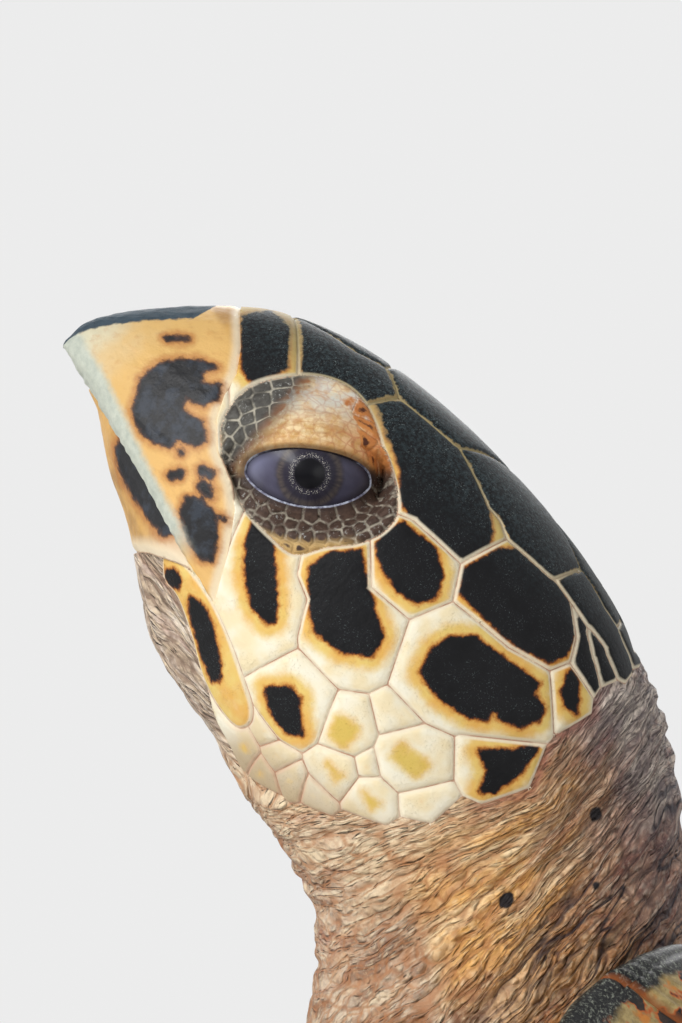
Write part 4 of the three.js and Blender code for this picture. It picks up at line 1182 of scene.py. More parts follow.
def carapace_piece(material):
    """The bony shield with its marginal scutes, which lap backwards like the saw teeth that they form."""
    around = 1400
    edge, plate = rim(around)
    x, f, u = edge.T
    rings, facts = [], []

    def ring(share, height, over):
        rings.append(np.stack([x * share, f * share, height], 1))
        facts.append(np.full(around, float(over)))

    for share in (0.02, 0.3, 0.55, 0.75, 0.84):
        ring(share, dome_height(u, share) - SCUTE, 0)
    for share in np.linspace(0.85, 0.985, 34):
        ring(share, dome_height(u, share) - 0.9 + 0.9 * smooth(0.85, 0.93, share), share)
    for k in np.linspace(0, 1, 12):
        angle = k * np.pi
        height = u * (1 - k * 0.01) - RIM_THICK / 2 + RIM_THICK / 2 * math.cos(angle)
        ring(0.985 + 0.015 * math.sin(angle), height, 1)
    for share, depth in RIM_UNDERSIDE:
        ring(share, u * share ** 2 - depth, 2)
    points, faces = loft(np.array(rings))
    share = np.concatenate([*facts, [0], [2]])
    plate_all = np.concatenate([np.tile(plate, len(rings)), [0, 0]])
    within = plate_all % 1
    lap = np.where((plate_all > 0) & (plate_all < MARGINALS), within, 0.5)
    top = (share > 0.845) & (share <= 1)
    seam = np.minimum(lap, 1 - lap) * 70
    lift = (1.6 * lap ** 2 - 0.9 * ridge(np.minimum(lap, 1 - lap), 0.02)) * top
    points[:, 2] += np.where(top, lift, 0)
    away = normals(points, faces)
    place = points.copy()
    grown = 0.25 * noise(place, 7, 51) + 0.2 * np.sin(lap * 60) * smooth(0.5, 1, lap)
    points = points + away * np.where(top, grown, 0)[:, None]
    facts = {"place": place, "seam": seam, "lap": lap, "share": share, "plate": np.floor(plate_all)}
    return make_piece(
        "carapace", points, facing_out(points, faces), [material], ["carapace"], facts)


def scute_field(name, x, f):
    """How far points lie inside a scute, which laps over those behind it."""
    cx, cf, radius = SCUTES[name]
    depth = np.full(len(x), 60.0)
    for other, (ox, of, other_radius) in SCUTES.items():
        if other == name:
            continue
        apart = math.hypot(ox - cx, of - cf)
        if apart > 210:
            continue
        to_x, to_f = (ox - cx) / apart, (of - cf) / apart
        reach = (apart ** 2 + radius ** 2 - other_radius ** 2) / (2 * apart)
        backwards = max(0.0, -to_f) if abs(to_x) < 0.95 else 0
        inside = reach - ((x - cx) * to_x + (f - cf) * to_f)
        depth = np.minimum(depth, inside + OVERLAP * backwards - 0.25)
    return depth


def rim_share(x, f):
    """How far out towards the rim points are, as a share, and how high the rim is beyond them."""
    edge, _ = rim(720, toothed=False)
    around, bearing = np.arctan2(edge[:, 0], edge[:, 1]), np.arctan2(x, f)
    reach = np.interp(bearing, around, np.hypot(edge[:, 0], edge[:, 1]), period=2 * np.pi)
    height = np.interp(bearing, around, edge[:, 2], period=2 * np.pi)
    return np.hypot(x, f) / reach, height


def scute_piece(name, material):
    """One large plate of the back: tortoiseshell, thin, raised at its rear edge."""
    cx, cf, radius = SCUTES[name]
    step, half = (1.6 if FINE else 4), radius * 1.75
    count = int(2 * half / step)
    i, j = np.meshgrid(np.arange(count), np.arange(count), indexing="ij")
    flat = np.stack([cx - half + step * (i + 0.5 * (j % 2)), cf - half + step * j, 0 * i], -1).reshape(-1, 3)
    a = (i[:-1, :-1] * count + j[:-1, :-1]).ravel()
    even = np.repeat((j[0, :-1] % 2 == 0)[None], count - 1, 0).ravel()
    b, c, d = a + count, a + 1, a + count + 1
    faces = np.concatenate([
        np.stack([a, b, c], 1)[even], np.stack([b, d, c], 1)[even],
        np.stack([a, b, d], 1)[~even], np.stack([a, d, c], 1)[~even]])

    def field(points):
        share, _ = rim_share(points[:, 0], points[:, 1])
        skirt = (SCUTE_EDGE + 0.012 * smooth(0, -60, points[:, 1] - cf) - share) * 260
        ragged = 0.7 * noise(points * [1, 1, 0], 9, 61)
        return np.minimum(scute_field(name, points[:, 0], points[:, 1]), skirt) + ragged

    points, faces = clip(flat, faces, field)
    x, f = points[:, 0], points[:, 1]
    depth = field(points)
    share, edge_height = rim_share(x, f)
    rear = smooth(0.5, -0.9, (f - cf) / radius)
    points[:, 2] = dome_height(edge_height, share) - 1.2 + SCUTE_LIFT * rear ** 1.5
    rings = 0.16 * np.sin(depth * 1.15 + 1.5 * noise(points, 30, 63))
    rings = rings * smooth(2, 6, depth) * smooth(34, 20, depth)
    ray = np.arctan2(x - cx, f - cf + radius * 0.35)
    ribs = 0.22 * np.sin(ray * 26 + 2 * noise(points, 25, 64)) * smooth(6, 30, depth)
    points[:, 2] += rings + ribs * 0.6 - 1.5 * ridge(depth, 1.1) + 0.5 * noise(points, 22, 62)
    start = np.stack([x - cx, f - (cf - radius * 0.35), depth], 1)
    facts = {"place": points.copy(), "start": start, "depth": depth}
    points, faces = thicken(points, facing_up(points, faces), SCUTE_THICK)
    return make_piece(name, points, faces, [material], [name], doubled(facts))


def facing_up(points, faces):
    a, b, c = corners_of(points, faces)
    return faces if np.cross(b - a, c - a)[:, 2].sum() > 0 else faces[:, ::-1]


PLASTRON_THICK = 7.0
# Scutes of the plastron, from the front: circles (x, f, radius), mirrored; the last ones are the bridge's.
BELLY_SCUTES = [(0, 252, 22), (34, 214, 40), (56, 142, 52), (60, 52, 56), (60, -42, 56), (56, -132, 50),
                (34, -212, 46), (150, 92, 34), (172, 36, 34), (172, -22, 34), (150, -76, 32)]


def plastron_piece(material):
    """The belly's plate, cut into scutes by soft seams, with a low keel on each side."""
    points, faces = loft(belly_rings(0, 620, 130), cap_start=False)
    outline = [(x, f) for x, f in PLASTRON] + [(-x, f) for x, f in PLASTRON[-2:0:-1]]

    def field(points):
        return np.minimum(signed_distance(points[:, 0], points[:, 1], outline), -6 - points[:, 2])

    points, faces = clip(points, faces, field)
    for _ in range(3):
        points, faces = refine(points, faces, lambda middle: np.full(len(middle), 5.5))
    circles = [(x * side, f, -80, r) for x, f, r in BELLY_SCUTES for side in ((1, -1) if x else (1,))]
    sites = Sites([c[:3] for c in circles], [c[3] for c in circles], np.arange(len(circles)))
    flat = points.copy()
    flat[:, 2] = -80
    height = points[:, 2].copy()
    flat, faces = sites.split(np.concatenate([flat, height[:, None]], 1), faces, np.ones(len(flat), bool))
    _, seam = sites.survey(flat[:, :3])
    points = np.stack([flat[:, 0], flat[:, 1], flat[:, 3]], 1)
    depth = signed_distance(points[:, 0], points[:, 1], outline)
    faces = facing_up(points, faces)[:, ::-1]
    away = normals(points, faces)
    place = points.copy()
    keel = 1.4 * ridge(np.abs(points[:, 0]) - 62, 16) * smooth(250, 200, np.abs(points[:, 1]))
    rise = keel - 1.1 * ridge(seam, 1.3) - 2.2 * ridge(depth, 2.2) + 0.4 * noise(place, 18, 71)
    points = points + away * (rise - 0.6)[:, None]
    facts = {"place": place, "seam": np.minimum(seam, depth + 0.5)}
    points, faces = thicken(points, faces, PLASTRON_THICK)
    return make_piece("plastron", points, faces, [material], ["plastron"], doubled(facts))


# ------------------------------------------------------------------ stand
def turned_profile(profile, around=96):
    """A closed solid of revolution about the vertical; the profile is (radius, height), bottom to top."""
    angle = turns(around)
    rings = [np.stack([r * np.cos(angle), r * np.sin(angle), 0 * angle + z], 1) for r, z in profile]
    return loft(np.array(rings))


def box_of(node):
    """The lowest and highest corners of a node, in millimetres."""
    return [np.array(corner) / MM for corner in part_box(node)]


def base_piece(wood):
    """A flat board with rounded corners and eased edges."""
    low, high = box_of("stand_base")
    corner, bevel, steps = 40, 4, 14
    middle, reach = (high + low) / 2, (high - low)[:2] / 2 - corner
    quadrant = np.repeat([[1, 1], [-1, 1], [-1, -1], [1, -1]], steps, 0)
    angle = np.concatenate([np.linspace(q * np.pi / 2, (q + 1) * np.pi / 2, steps) for q in range(4)])
    profile = [
        (bevel, low[2]), (1, low[2] + 1.0), (0, low[2] + bevel), (0, high[2] - bevel),
        *[(bevel * (1 - math.cos(turn)), high[2] - bevel * (1 - math.sin(turn)))
          for turn in np.linspace(0.2, 1.57, 7)],
        (14, high[2])]
    rings = []
    for inset, z in profile:
        ring = quadrant * reach + (corner - inset) * np.stack([np.cos(angle), np.sin(angle)], 1)
        rings.append(np.concatenate([ring + middle[:2], np.full((len(ring), 1), z)], 1))
    points, faces = loft(np.array(rings))
    make_piece("stand_base", points, facing_out(points, faces), [wood], ["stand_base"],
               {"place": points}, None, "floor")


def round_piece(name, profile, foot, middle, metal, top=None):
    """A turned part of the stand that stands on its foot, cut off under a sloping top if it has one."""
    points, faces = turned_profile(profile)
    if top:
        points[:, 2] = np.minimum(points[:, 2], top(points))
    points = points + [*middle[:2], foot]
    make_piece(name, points, facing_out(points, faces), [metal], [name],
               {"place": points - middle}, None, "floor")


def stand_pieces(wood, metal):
    base_piece(wood)
    for name in ("front", "rear"):
        low, high = box_of(f"stand_flange_{name}")
        radius, tall = (high[0] - low[0]) / 2, high[2] - low[2]
        profile = [
            (radius - 0.6, 0), (radius, 0.6), (radius, tall - 2.4), (radius - 0.7, tall - 0.9),
            (radius - 2.2, tall), (9.6, tall), (9.2, tall + 0.3), (8.4, tall + 0.3)]
        round_piece(f"stand_flange_{name}", profile, low[2], (low + high) / 2, metal)
        low, high = box_of(f"stand_rod_{name}")
        radius, slope = (high[0] - low[0]) / 2, math.tan(BODY_PITCH)
        profile = [(radius, z) for z in np.linspace(low[2], high[2], 40)]
        round_piece(f"stand_rod_{name}", profile, 0, (low + high) / 2, metal,
                    lambda points: high[2] - slope * (radius + points[:, 1]) + 0.6)


# ------------------------------------------------------------------ materials
def paint(red, green, blue):
    """A colour as seen, from 0 to 255 a channel, as the shaders' own linear colour."""
    def linear(value):
        value /= 255
        return value / 12.92 if value <= 0.04045 else ((value + 0.055) / 1.055) ** 2.4
    return (linear(red), linear(green), linear(blue), 1)


class Shader:
    """A material with one Principled surface, and short ways to add the nodes that feed it.

    A colour is another node's output, or (red, green, blue) as seen, from 0 to 255 a channel.
    """

    def __init__(self, name, **fixed):
        self.material = bpy.data.materials.new(name)
        self.material.use_nodes = True
        self.tree = self.material.node_tree
        self.surface = self.tree.nodes["Principled BSDF"]
        for socket, value in fixed.items():
            self.surface.inputs[socket.replace("_", " ")].default_value = value

    def add(self, kind, inputs=None, **settings):
        node = self.tree.nodes.new("ShaderNode" + kind)
        for key, value in settings.items():
            setattr(node, key, value)
        for key, value in (inputs or {}).items():
            self.feed(node.inputs[key], value)
        return node

    def feed(self, socket, value):
        if isinstance(value, bpy.types.NodeSocket):
            self.tree.links.new(value, socket)
        else:
            socket.default_value = paint(*value) if socket.type == "RGBA" else value

    def facts(self, *names):
        """Numbers that the mesh holds for each of its points."""
        return [self.add("Attribute", attribute_name=name).outputs["Fac"] for name in names]

    def vector(self, name):
        return self.add("Attribute", attribute_name=name).outputs["Vector"]

    def parts(self, vector):
        return self.add("SeparateXYZ", {0: vector}).outputs

    def joined(self, *parts):
        return self.add("CombineXYZ", dict(enumerate(parts))).outputs[0]

    def moved(self, vector, by):
        return self.add("VectorMath", {0: vector, 1: by}).outputs[0]

    def stretched(self, vector, x, y, z):
        return self.add("Mapping", {"Vector": vector, "Scale": (x, y, z)}).outputs[0]

    def sum(self, operation, a, b=0.0):
        return self.add("Math", {0: a, 1: b}, operation=operation).outputs[0]

    def plus(self, a, b):
        return self.sum("ADD", a, b)

    def minus(self, a, b):
        return self.sum("SUBTRACT", a, b)

    def times(self, *values):
        return reduce(lambda a, b: self.sum("MULTIPLY", a, b), values)

    def between(self, value, low, high, to_low=0.0, to_high=1.0):
        """An even S from to_low to to_high as the value goes from low to high."""
        node = self.add("MapRange", {"Value": value}, interpolation_type="SMOOTHSTEP")
        for key, number in zip(("From Min", "From Max", "To Min", "To Max"), (low, high, to_low, to_high)):
            self.feed(node.inputs[key], number)
        return node.outputs["Result"]

    def near(self, value, middle, width):
        """1 where a value is at its middle, 0 beyond a width either side."""
        return self.between(self.sum("ABSOLUTE", self.minus(value, middle)), width, 0.0)

    def noise(self, vector, size, detail=3.0, rough=0.55, bend=0.0):
        """Noise from about 0 to 1, with lumps of a size in the vector's own units."""
        inputs = {
            "Vector": vector, "Scale": 1 / size, "Detail": detail, "Roughness": rough, "Distortion": bend}
        return self.add("TexNoise", inputs).outputs["Fac"]

    def wobble(self, value, amount, noise):
        """A value made uneven by some noise, by up to half an amount either way."""
        return self.plus(value, self.times(self.minus(noise, 0.5), amount))

    def cells(self, vector, scale=1.0, feature="F1"):
        """The distance from the middle of the cell that a point is in, or with EDGES from its edge."""
        return self.add("TexVoronoi", {"Vector": vector, "Scale": scale}, feature=feature).outputs["Distance"]

    def mix(self, share, a, b):
        node = self.add("Mix", {"Factor": share}, data_type="RGBA")
        self.feed(node.inputs[6], a)
        self.feed(node.inputs[7], b)
        return node.outputs[2]

    def tones(self, value, low, high, a, b):
        """From one colour to another as a value goes from low to high."""
        return self.mix(self.between(value, low, high), a, b)

    def layers(self, colour, *coats):
        """A colour under coats, each given as (how much it covers, its colour)."""
        for share, coat in coats:
            colour = self.mix(share, colour, coat)
        return colour

    def colour(self, value):
        self.feed(self.surface.inputs["Base Color"], value)

    def roughness(self, value):
        self.feed(self.surface.inputs["Roughness"], value)

    def bump(self, *layers):
        """Relief from (height from 0 to 1, its size in millimetres) pairs."""
        normal = None
        for height, size in layers:
            inputs = {"Height": height, "Distance": size * MM, "Strength": 1.0}
            if normal is not None:
                inputs["Normal"] = normal
            normal = self.add("Bump", inputs).outputs[0]
        self.feed(self.surface.inputs["Normal"], normal)


EDGES = "DISTANCE_TO_EDGE"


def plate_colour(m, place, seam, ink, faint):
    """The horn of the head's plates, and the pale specks on its black, with a painted sheen on top and
    painted shade under the chin.
    """
    _, back, high = m.parts(place)
    crown = m.between(high, 22, 40)
    # Plates under the chin are painted darker, both the pale horn and its borders: painted shade.
    chin = m.times(m.between(high, -36, -54), m.between(back, 88, 98))
    ragged = m.wobble(ink, 2.4, m.noise(place, 2.2, 4.0, 0.65))
    spread = m.noise(place, 8.0, 2.0)
    pale = m.layers(
        m.tones(spread, 0.35, 0.65, (243, 226, 186), (247, 240, 218)),
        (m.times(chin, 0.9), (186, 162, 126)),
        (crown, (170, 146, 104)))
    golden = m.tones(spread, 0.3, 0.7, (230, 178, 92), (233, 203, 120))
    glow = m.plus(ragged, m.times(spread, 1.4))
    olive = m.times(m.between(faint, 0.4, 0.6), m.between(ragged, -3.6, -1.2, 0.0, 0.85))
    rusty = m.times(m.between(ragged, -1.4, -0.2), m.between(faint, 0.6, 0.4))
    horn = m.layers(
        m.tones(glow, -4.1, -0.9, pale, golden),
        (olive, (220, 190, 96)),
        (rusty, (196, 124, 52)),
        (m.between(ragged, -0.7, 0.05), (96, 52, 30)),
        (m.times(crown, 0.85), (160, 144, 104)))
    speck = m.between(m.noise(place, 0.42, 2.0, 0.7), 0.6, 0.68)
    speck = m.times(speck, m.between(m.noise(place, 5.0, 3.0), 0.4, 0.62))
    # A bluish painted sheen on the black, laid on the top of the head only.
    painted_sheen = m.tones(m.noise(place, 1.0, 4.0, 0.75), 0.42, 0.66, (14, 17, 20), (66, 80, 84))
    black = m.layers(
        m.mix(m.noise(place, 5.0), (8, 8, 9), (28, 28, 31)),
        (m.times(m.between(high, 18, 46), 0.8), painted_sheen),
        (m.times(speck, m.between(crown, 0.0, 1.0, 0.35, 0.8)), (132, 146, 146)))
    # The borders and their seams are finer on the crown.
    apart = m.sum("DIVIDE", seam, m.between(crown, 0.0, 1.0, 1.0, 0.45))
    # The borders under the chin are darkened too, as painted shade.
    border = m.layers(m.mix(crown, (242, 230, 204), (172, 158, 118)), (chin, (206, 172, 142)))
    line = m.times(m.between(seam, 0.26, 0.05), m.between(crown, 0.0, 1.0, 1.0, 0.35))
    line = m.times(line, m.between(m.noise(place, 5.0, 2.0), 0.3, 0.6, 0.35, 0.9))
    colour = m.layers(
        m.tones(ragged, -0.25, 0.3, horn, black),
        (m.between(apart, 1.15, 0.45, 0.0, 0.9), border),
        (line, m.mix(crown, (186, 138, 112), (104, 78, 56))))
    return colour, speck


def lid_colour(m, place, ink, lid):
    """The bare upper lid, mottled ochre with a milky zone and a rosy net behind, and its creases, darkened
    with painted shade.
    """
    _, back, high = m.parts(place)
    crease = m.noise(m.joined(lid, m.times(high, 0.3)), 2.2, 5.0, 0.65, 0.4)
    mottle = m.noise(place, 2.6, 5.0, 0.65)
    behind = m.times(m.between(back, 62, 80), m.between(high, 14, 22))
    milky = m.between(m.noise(place, 5.0, 4.0, 0.6), 0.36, 0.6, 0.2, 0.95)
    net = m.between(m.cells(m.moved(place, mottle), 0.36, EDGES), 0.12, 0.02)
    patch = m.wobble(ink, 3.0, m.noise(place, 1.8, 3.0))
    ochre = m.layers(
        m.tones(mottle, 0.38, 0.64, (216, 172, 112), (244, 218, 170)),
        # Darker ochre in the creases: painted shade.
        (m.between(crease, 0.5, 0.36, 0.0, 0.45), (188, 132, 84)),
        (m.times(m.between(lid, 5.0, 13.0), milky), (226, 224, 212)),
        (m.times(net, m.between(behind, 0.0, 1.0, 0.25, 0.7)), (182, 104, 74)),
        (m.times(behind, m.between(mottle, 0.4, 0.62, 0.15, 0.7)), (214, 142, 92)),
        (m.between(patch, -0.6, 0.7), m.mix(m.noise(place, 3.0), (222, 152, 84), (170, 98, 58))),
        (m.between(patch, 1.1, 1.9), (84, 48, 34)),
        (m.between(lid, 2.6, 0.6, 0.0, 0.5), (196, 144, 80)))
    return ochre, crease


def lid_scale_colour(m, place, seam, lid):
    """The small dark scales before and below the eye, greyer in front, in a net that fades in and out, with
    specks of painted highlight.
    """
    _, back, high = m.parts(place)
    front = m.between(back, 62, 50)
    brown = m.mix(m.noise(place, 1.6, 3.0), (28, 22, 22), m.mix(front, (104, 82, 70), (112, 110, 104)))
    net = m.mix(m.noise(place, 2.4, 3.0), m.mix(front, (88, 74, 62), (134, 130, 118)), (226, 218, 198))
    faded = m.between(m.noise(place, 3.4, 3.0, 0.6), 0.36, 0.6, 0.15, 0.85)
    # Pale specks on the small scales: painted highlights.
    painted_sparkle = m.between(m.noise(place, 0.8, 3.0, 0.7), 0.58, 0.66)
    painted_sparkle = m.times(painted_sparkle, m.between(m.noise(place, 5.0), 0.45, 0.6))
    outer = m.times(m.between(lid, 6.5, 9.0), m.between(high, 9, 2))
    skin = m.mix(m.noise(place, 3.0), (160, 124, 78), (222, 190, 130))
    return m.layers(
        brown,
        (m.times(m.between(seam, 0.48, 0.1), faded), net),
        (m.times(painted_sparkle, 0.7), (178, 180, 176)),
        (m.times(outer, m.between(seam, 1.05, 0.6)), skin))


def plate_material():
    """Head plates: black patches with rusty fringes on golden horn, and the lids round the eye."""
    m = Shader("head_plates", Roughness=0.52, Specular_IOR_Level=0.14)
    place = m.vector("place")
    seam, ink, orbit, lid, bare, faint = m.facts("seam", "ink", "orbit", "lid", "bare", "tone")
    horn, speck = plate_colour(m, place, seam, ink, faint)
    ochre, crease = lid_colour(m, place, ink, lid)
    # Inside the opening the lid's rim is less rough, and it is painted: a pale wet glint on the lower lid,
    # dark painted shade under the upper lid.
    wet = m.between(lid, -0.02, -0.25)
    painted_wet_glint = m.tones(m.noise(place, 2.0, 3.0), 0.35, 0.65, (112, 110, 132), (204, 210, 226))
    m.colour(m.layers(
        horn,
        (orbit, m.mix(bare, lid_scale_colour(m, place, seam, lid), ochre)),
        (m.between(lid, 1.4, 0.2, 0.0, 0.6), (44, 34, 34)),
        (wet, m.mix(bare, painted_wet_glint, (40, 34, 38)))))
    m.roughness(m.between(wet, 0.0, 1.0, 0.5, 0.3))
    fine = m.mix(orbit, m.noise(place, 1.2, 4.0, 0.6), crease)
    m.bump((m.between(seam, 0.0, 0.6), 0.22), (fine, 0.18), (speck, 0.10))
    return m.material


# Black spots on the left of the neck: how far back, how high, radius.
MOLES = [(174.7, -8.5, 1.7), (170.8, -36.8, 2.0), (186.8, -20.5, 0.8)]


def limb_scale_colour(m, place, seam, tone, upper):
    """The scales of a flipper: dark above, pale below with some dark ones, in a pale net."""
    below = m.tones(tone, 0.62, 0.72, (226, 200, 142), (92, 70, 48))
    return m.layers(
        m.tones(tone, 0.15, 0.9, (40, 31, 26), (82, 58, 38)),
        (m.between(m.noise(place, 5.0, 4.0), 0.5, 0.72, 0.0, 0.5), (22, 19, 18)),
        (m.between(upper, -0.05, -0.4), below),
        (m.between(seam, 1.2, 0.6), (170, 128, 76)),
        (m.between(seam, 0.7, 0.3), (218, 188, 134)))


def soft_material():
    """Soft skin in fine folds, painted paler on its ridges and darker in its hollows as light and shade, and
    the scales of the limbs, which grow out of it.
    """
    m = Shader("soft_skin", Roughness=0.6, Specular_IOR_Level=0.3)
    place, lines = m.vector("place"), m.vector("grain")
    seam, crease, limb_share, tone, upper = m.facts("seam", "crease", "limb", "tone", "upper")
    left, back, level = m.parts(place)
    bend = m.noise(m.stretched(lines, 1.0, 0.5, 0.5), 14.0, 2.0)
    shift = m.plus(m.times(bend, 9.0), m.times(m.noise(place, 7.0, 2.0), 1.5))
    lines = m.moved(lines, m.joined(shift))

    def folds(stretch, size, *more):
        """Noise drawn out along the folds."""
        return m.noise(m.stretched(lines, 1.0, stretch, stretch), size, *more)

    streak, band = folds(0.16, 2.6, 4.0, 0.6), folds(0.22, 9.0, 3.0, 0.6)
    wrinkle = folds(0.3, 1.5, 4.0, 0.62, 0.3)
    patchy, fine = m.noise(place, 10.0, 3.0), m.noise(place, 0.9, 4.0, 0.7)
    pebble = m.cells(m.stretched(lines, 0.62, 0.36, 0.36))
    cell = m.cells(m.stretched(lines, 0.42, 0.13, 0.13), 1.0, EDGES)
    furrow = m.between(m.cells(m.stretched(lines, 0.5, 0.045, 0.045), 1.0, EDGES), 0.12, 0.02)

    # Where the neck is dusky above, pale behind the crown, darker at its root as painted shade where it goes
    # under the shell, and loose under the chin.
    high = m.wobble(level, 40.0, m.noise(place, 26.0, 3.0))
    dusky = m.between(m.plus(high, m.times(back, 0.35)), 32, 60)
    nape = m.times(m.between(high, -10, 12), m.between(back, 202, 184))
    lowest = m.times(m.between(back, 172, 191), m.between(back, 260, 215))
    flap = m.times(m.between(back, 104, 86), m.between(high, 0, -14))
    tan = m.layers(
        m.tones(band, 0.42, 0.62, (242, 184, 106), (248, 216, 166)),
        (lowest, m.tones(band, 0.4, 0.62, (190, 132, 80), (226, 178, 128))),
        (m.between(back, 162, 134), m.mix(band, (238, 210, 164), (230, 214, 192))),
        (m.between(high, -52, -68), m.tones(streak, 0.4, 0.6, (150, 124, 104), (214, 194, 170))),
        (flap, m.tones(streak, 0.42, 0.6, (204, 182, 158), (240, 226, 210))))
    dusk = m.layers(
        m.tones(band, 0.38, 0.62, (116, 88, 86), (208, 166, 142)),
        (nape, m.tones(streak, 0.38, 0.62, (166, 150, 144), (244, 228, 214))))
    body = m.tones(
        upper, 0.45, -0.1,
        m.mix(band, (96, 74, 58), (150, 120, 88)),
        m.tones(band, 0.4, 0.62, (206, 180, 136), (232, 214, 178)))
    # The rusty and dusky colour of the creases, also laid where it stands for painted shade.
    dark = m.layers(
        (172, 112, 66),
        (m.sum("MAXIMUM", dusky, lowest), m.mix(nape, (66, 46, 46), (92, 82, 84))),
        (flap, (134, 108, 92)))
    pale_and_highlight = m.mix(dusky, (250, 226, 186), (222, 206, 190))

    # Near-black lines in the deep folds at the neck's root: painted shade.
    deep = m.times(m.between(back, 170, 190), m.between(back, 250, 215))
    deep = m.times(m.near(folds(0.12, 7.0, 2.0), 0.5, 0.035), deep, m.between(high, -62, -38, 0.0, 0.9))
    rosy = m.times(m.between(seam, 3.2, 0.8, 0.0, 0.6), m.between(level, -34, -18))
    rosy = m.times(rosy, m.between(back, 142, 150), m.between(level, 22, 8))
    # Pale highlights are painted on the streaks' ridges, the fine grain and the knob tops. Darker colour,
    # partly painted shade, goes in their hollows, the creases, cell edges and furrows.
    skin = m.layers(
        m.mix(dusky, tan, dusk),
        (m.between(back, 215, 260), body),
        (m.times(m.between(folds(0.3, 5.0, 3.0), 0.52, 0.66), 0.4), (160, 92, 76)),
        (m.between(streak, 0.54, 0.7, 0.0, 0.5), pale_and_highlight),
        (m.between(streak, 0.46, 0.3, 0.0, 0.45), dark),
        (m.between(fine, 0.55, 0.68, 0.0, 0.45), pale_and_highlight),
        (m.between(fine, 0.45, 0.32, 0.0, 0.35), dark),
        (m.between(pebble, 0.5, 0.1, 0.0, 0.35), pale_and_highlight),
        (m.between(pebble, 0.55, 0.85, 0.0, 0.35), dark),
        (m.between(crease, 0.18, 0.02, 0.0, 0.45), dark),
        (m.times(m.between(cell, 0.13, 0.01), m.between(patchy, 0.36, 0.62, 0.2, 0.65)), dark),
        (m.times(furrow, m.between(patchy, 0.62, 0.36, 0.1, 0.6)), dark),
        (deep, (36, 31, 42)),
        (rosy, (152, 92, 82)))
    for s, h, radius in MOLES:
        sideways = m.stretched(place, 0, 1, 1)
        away = m.add("VectorMath", {0: sideways, 1: (0, s, h)}, operation="DISTANCE").outputs["Value"]
        mole = m.between(m.plus(away, m.times(m.noise(place, 1.6), 1.2)), radius + 1.0, radius + 0.3)
        skin = m.mix(m.times(mole, m.between(left, 0, 1)), skin, (30, 24, 26))
    m.colour(m.mix(limb_share, skin, limb_scale_colour(m, place, seam, tone, upper)))
    m.roughness(m.between(limb_share, 0.0, 1.0, 0.6, 0.42))
    m.bump(
        (wrinkle, 0.45), (streak, 0.4), (m.between(cell, 0.0, 0.22), 0.35), (fine, 0.2),
        (m.between(furrow, 1.0, 0.0), 0.3), (m.between(pebble, 0.8, 0.1), 0.65),
        (m.between(deep, 1.0, 0.0), 0.45), (m.between(seam, 0.0, 0.8), 0.25))
    return m.material


def beak_material():
    """Horn of the jaws: amber and cream, stained black, with a frayed pale cutting edge."""
    m = Shader("beak_horn", Roughness=0.42, Specular_IOR_Level=0.3)
    place = m.vector("place")
    ink, culmen, edge, rear = m.facts("ink", "ridge", "edge", "rear")
    _, back, _ = m.parts(place)
    streak = m.noise(m.stretched(place, 1.0, 0.25, 1.0), 2.2, 4.0, 0.6)
    cloud = m.noise(place, 11.0, 3.0)
    onwards = m.wobble(back, 14.0, cloud)
    # Darker gold far above the mouth line. The lower beak gets it all over, as painted shade.
    shaded = m.layers(
        m.tones(cloud, 0.4, 0.6, (212, 166, 96), (182, 138, 78)),
        (m.between(back, 44, 56), (226, 192, 156)))
    ragged = m.wobble(ink, 2.6, m.noise(m.stretched(place, 1, 0.6, 1), 2.0, 5.0, 0.65))
    blue = m.tones(m.noise(place, 4.0, 3.0), 0.46, 0.66, (20, 20, 23), (44, 50, 60))
    worn = m.minus(m.wobble(edge, 2.0, m.noise(place, 2.2, 3.0, 0.6)), m.between(back, 8, 40, 6.5, 3.6))
    worn = m.times(m.between(worn, 1.6, -1.2), m.between(back, 61, 50))
    top = m.wobble(culmen, 2.0, m.noise(place, 2.0, 4.0, 0.7))
    m.colour(m.layers(
        m.tones(onwards, 1, 19, (214, 208, 180), (222, 180, 110)),
        (m.between(onwards, 24, 42), (230, 184, 112)),
        (m.between(streak, 0.5, 0.75, 0.0, 0.3), (190, 128, 64)),
        (m.between(edge, 38, 40), shaded),
        (m.between(rear, 3.2, 0.8, 0.0, 0.85), (243, 228, 198)),
        (m.between(rear, 0.3, 0.1, 0.0, 0.6), (196, 152, 122)),
        (m.between(ragged, -2.4, 0.0, 0.0, 0.75), (176, 108, 52)),
        (m.between(ragged, -0.6, 0.3), (74, 48, 36)),
        (m.between(ragged, -0.1, 0.9), blue),
        (worn, m.mix(m.noise(place, 2.4, 4.0, 0.7), (150, 160, 150), (222, 224, 208))),
        (m.between(top, -0.6, 0.4), m.mix(m.noise(place, 2.4, 4.0, 0.7), (26, 34, 44), (72, 92, 104)))))
    m.roughness(m.between(top, -0.6, 0.4, 0.42, 0.62))
    m.bump((streak, 0.22), (m.noise(place, 0.7, 4.0, 0.7), 0.12))
    return m.material


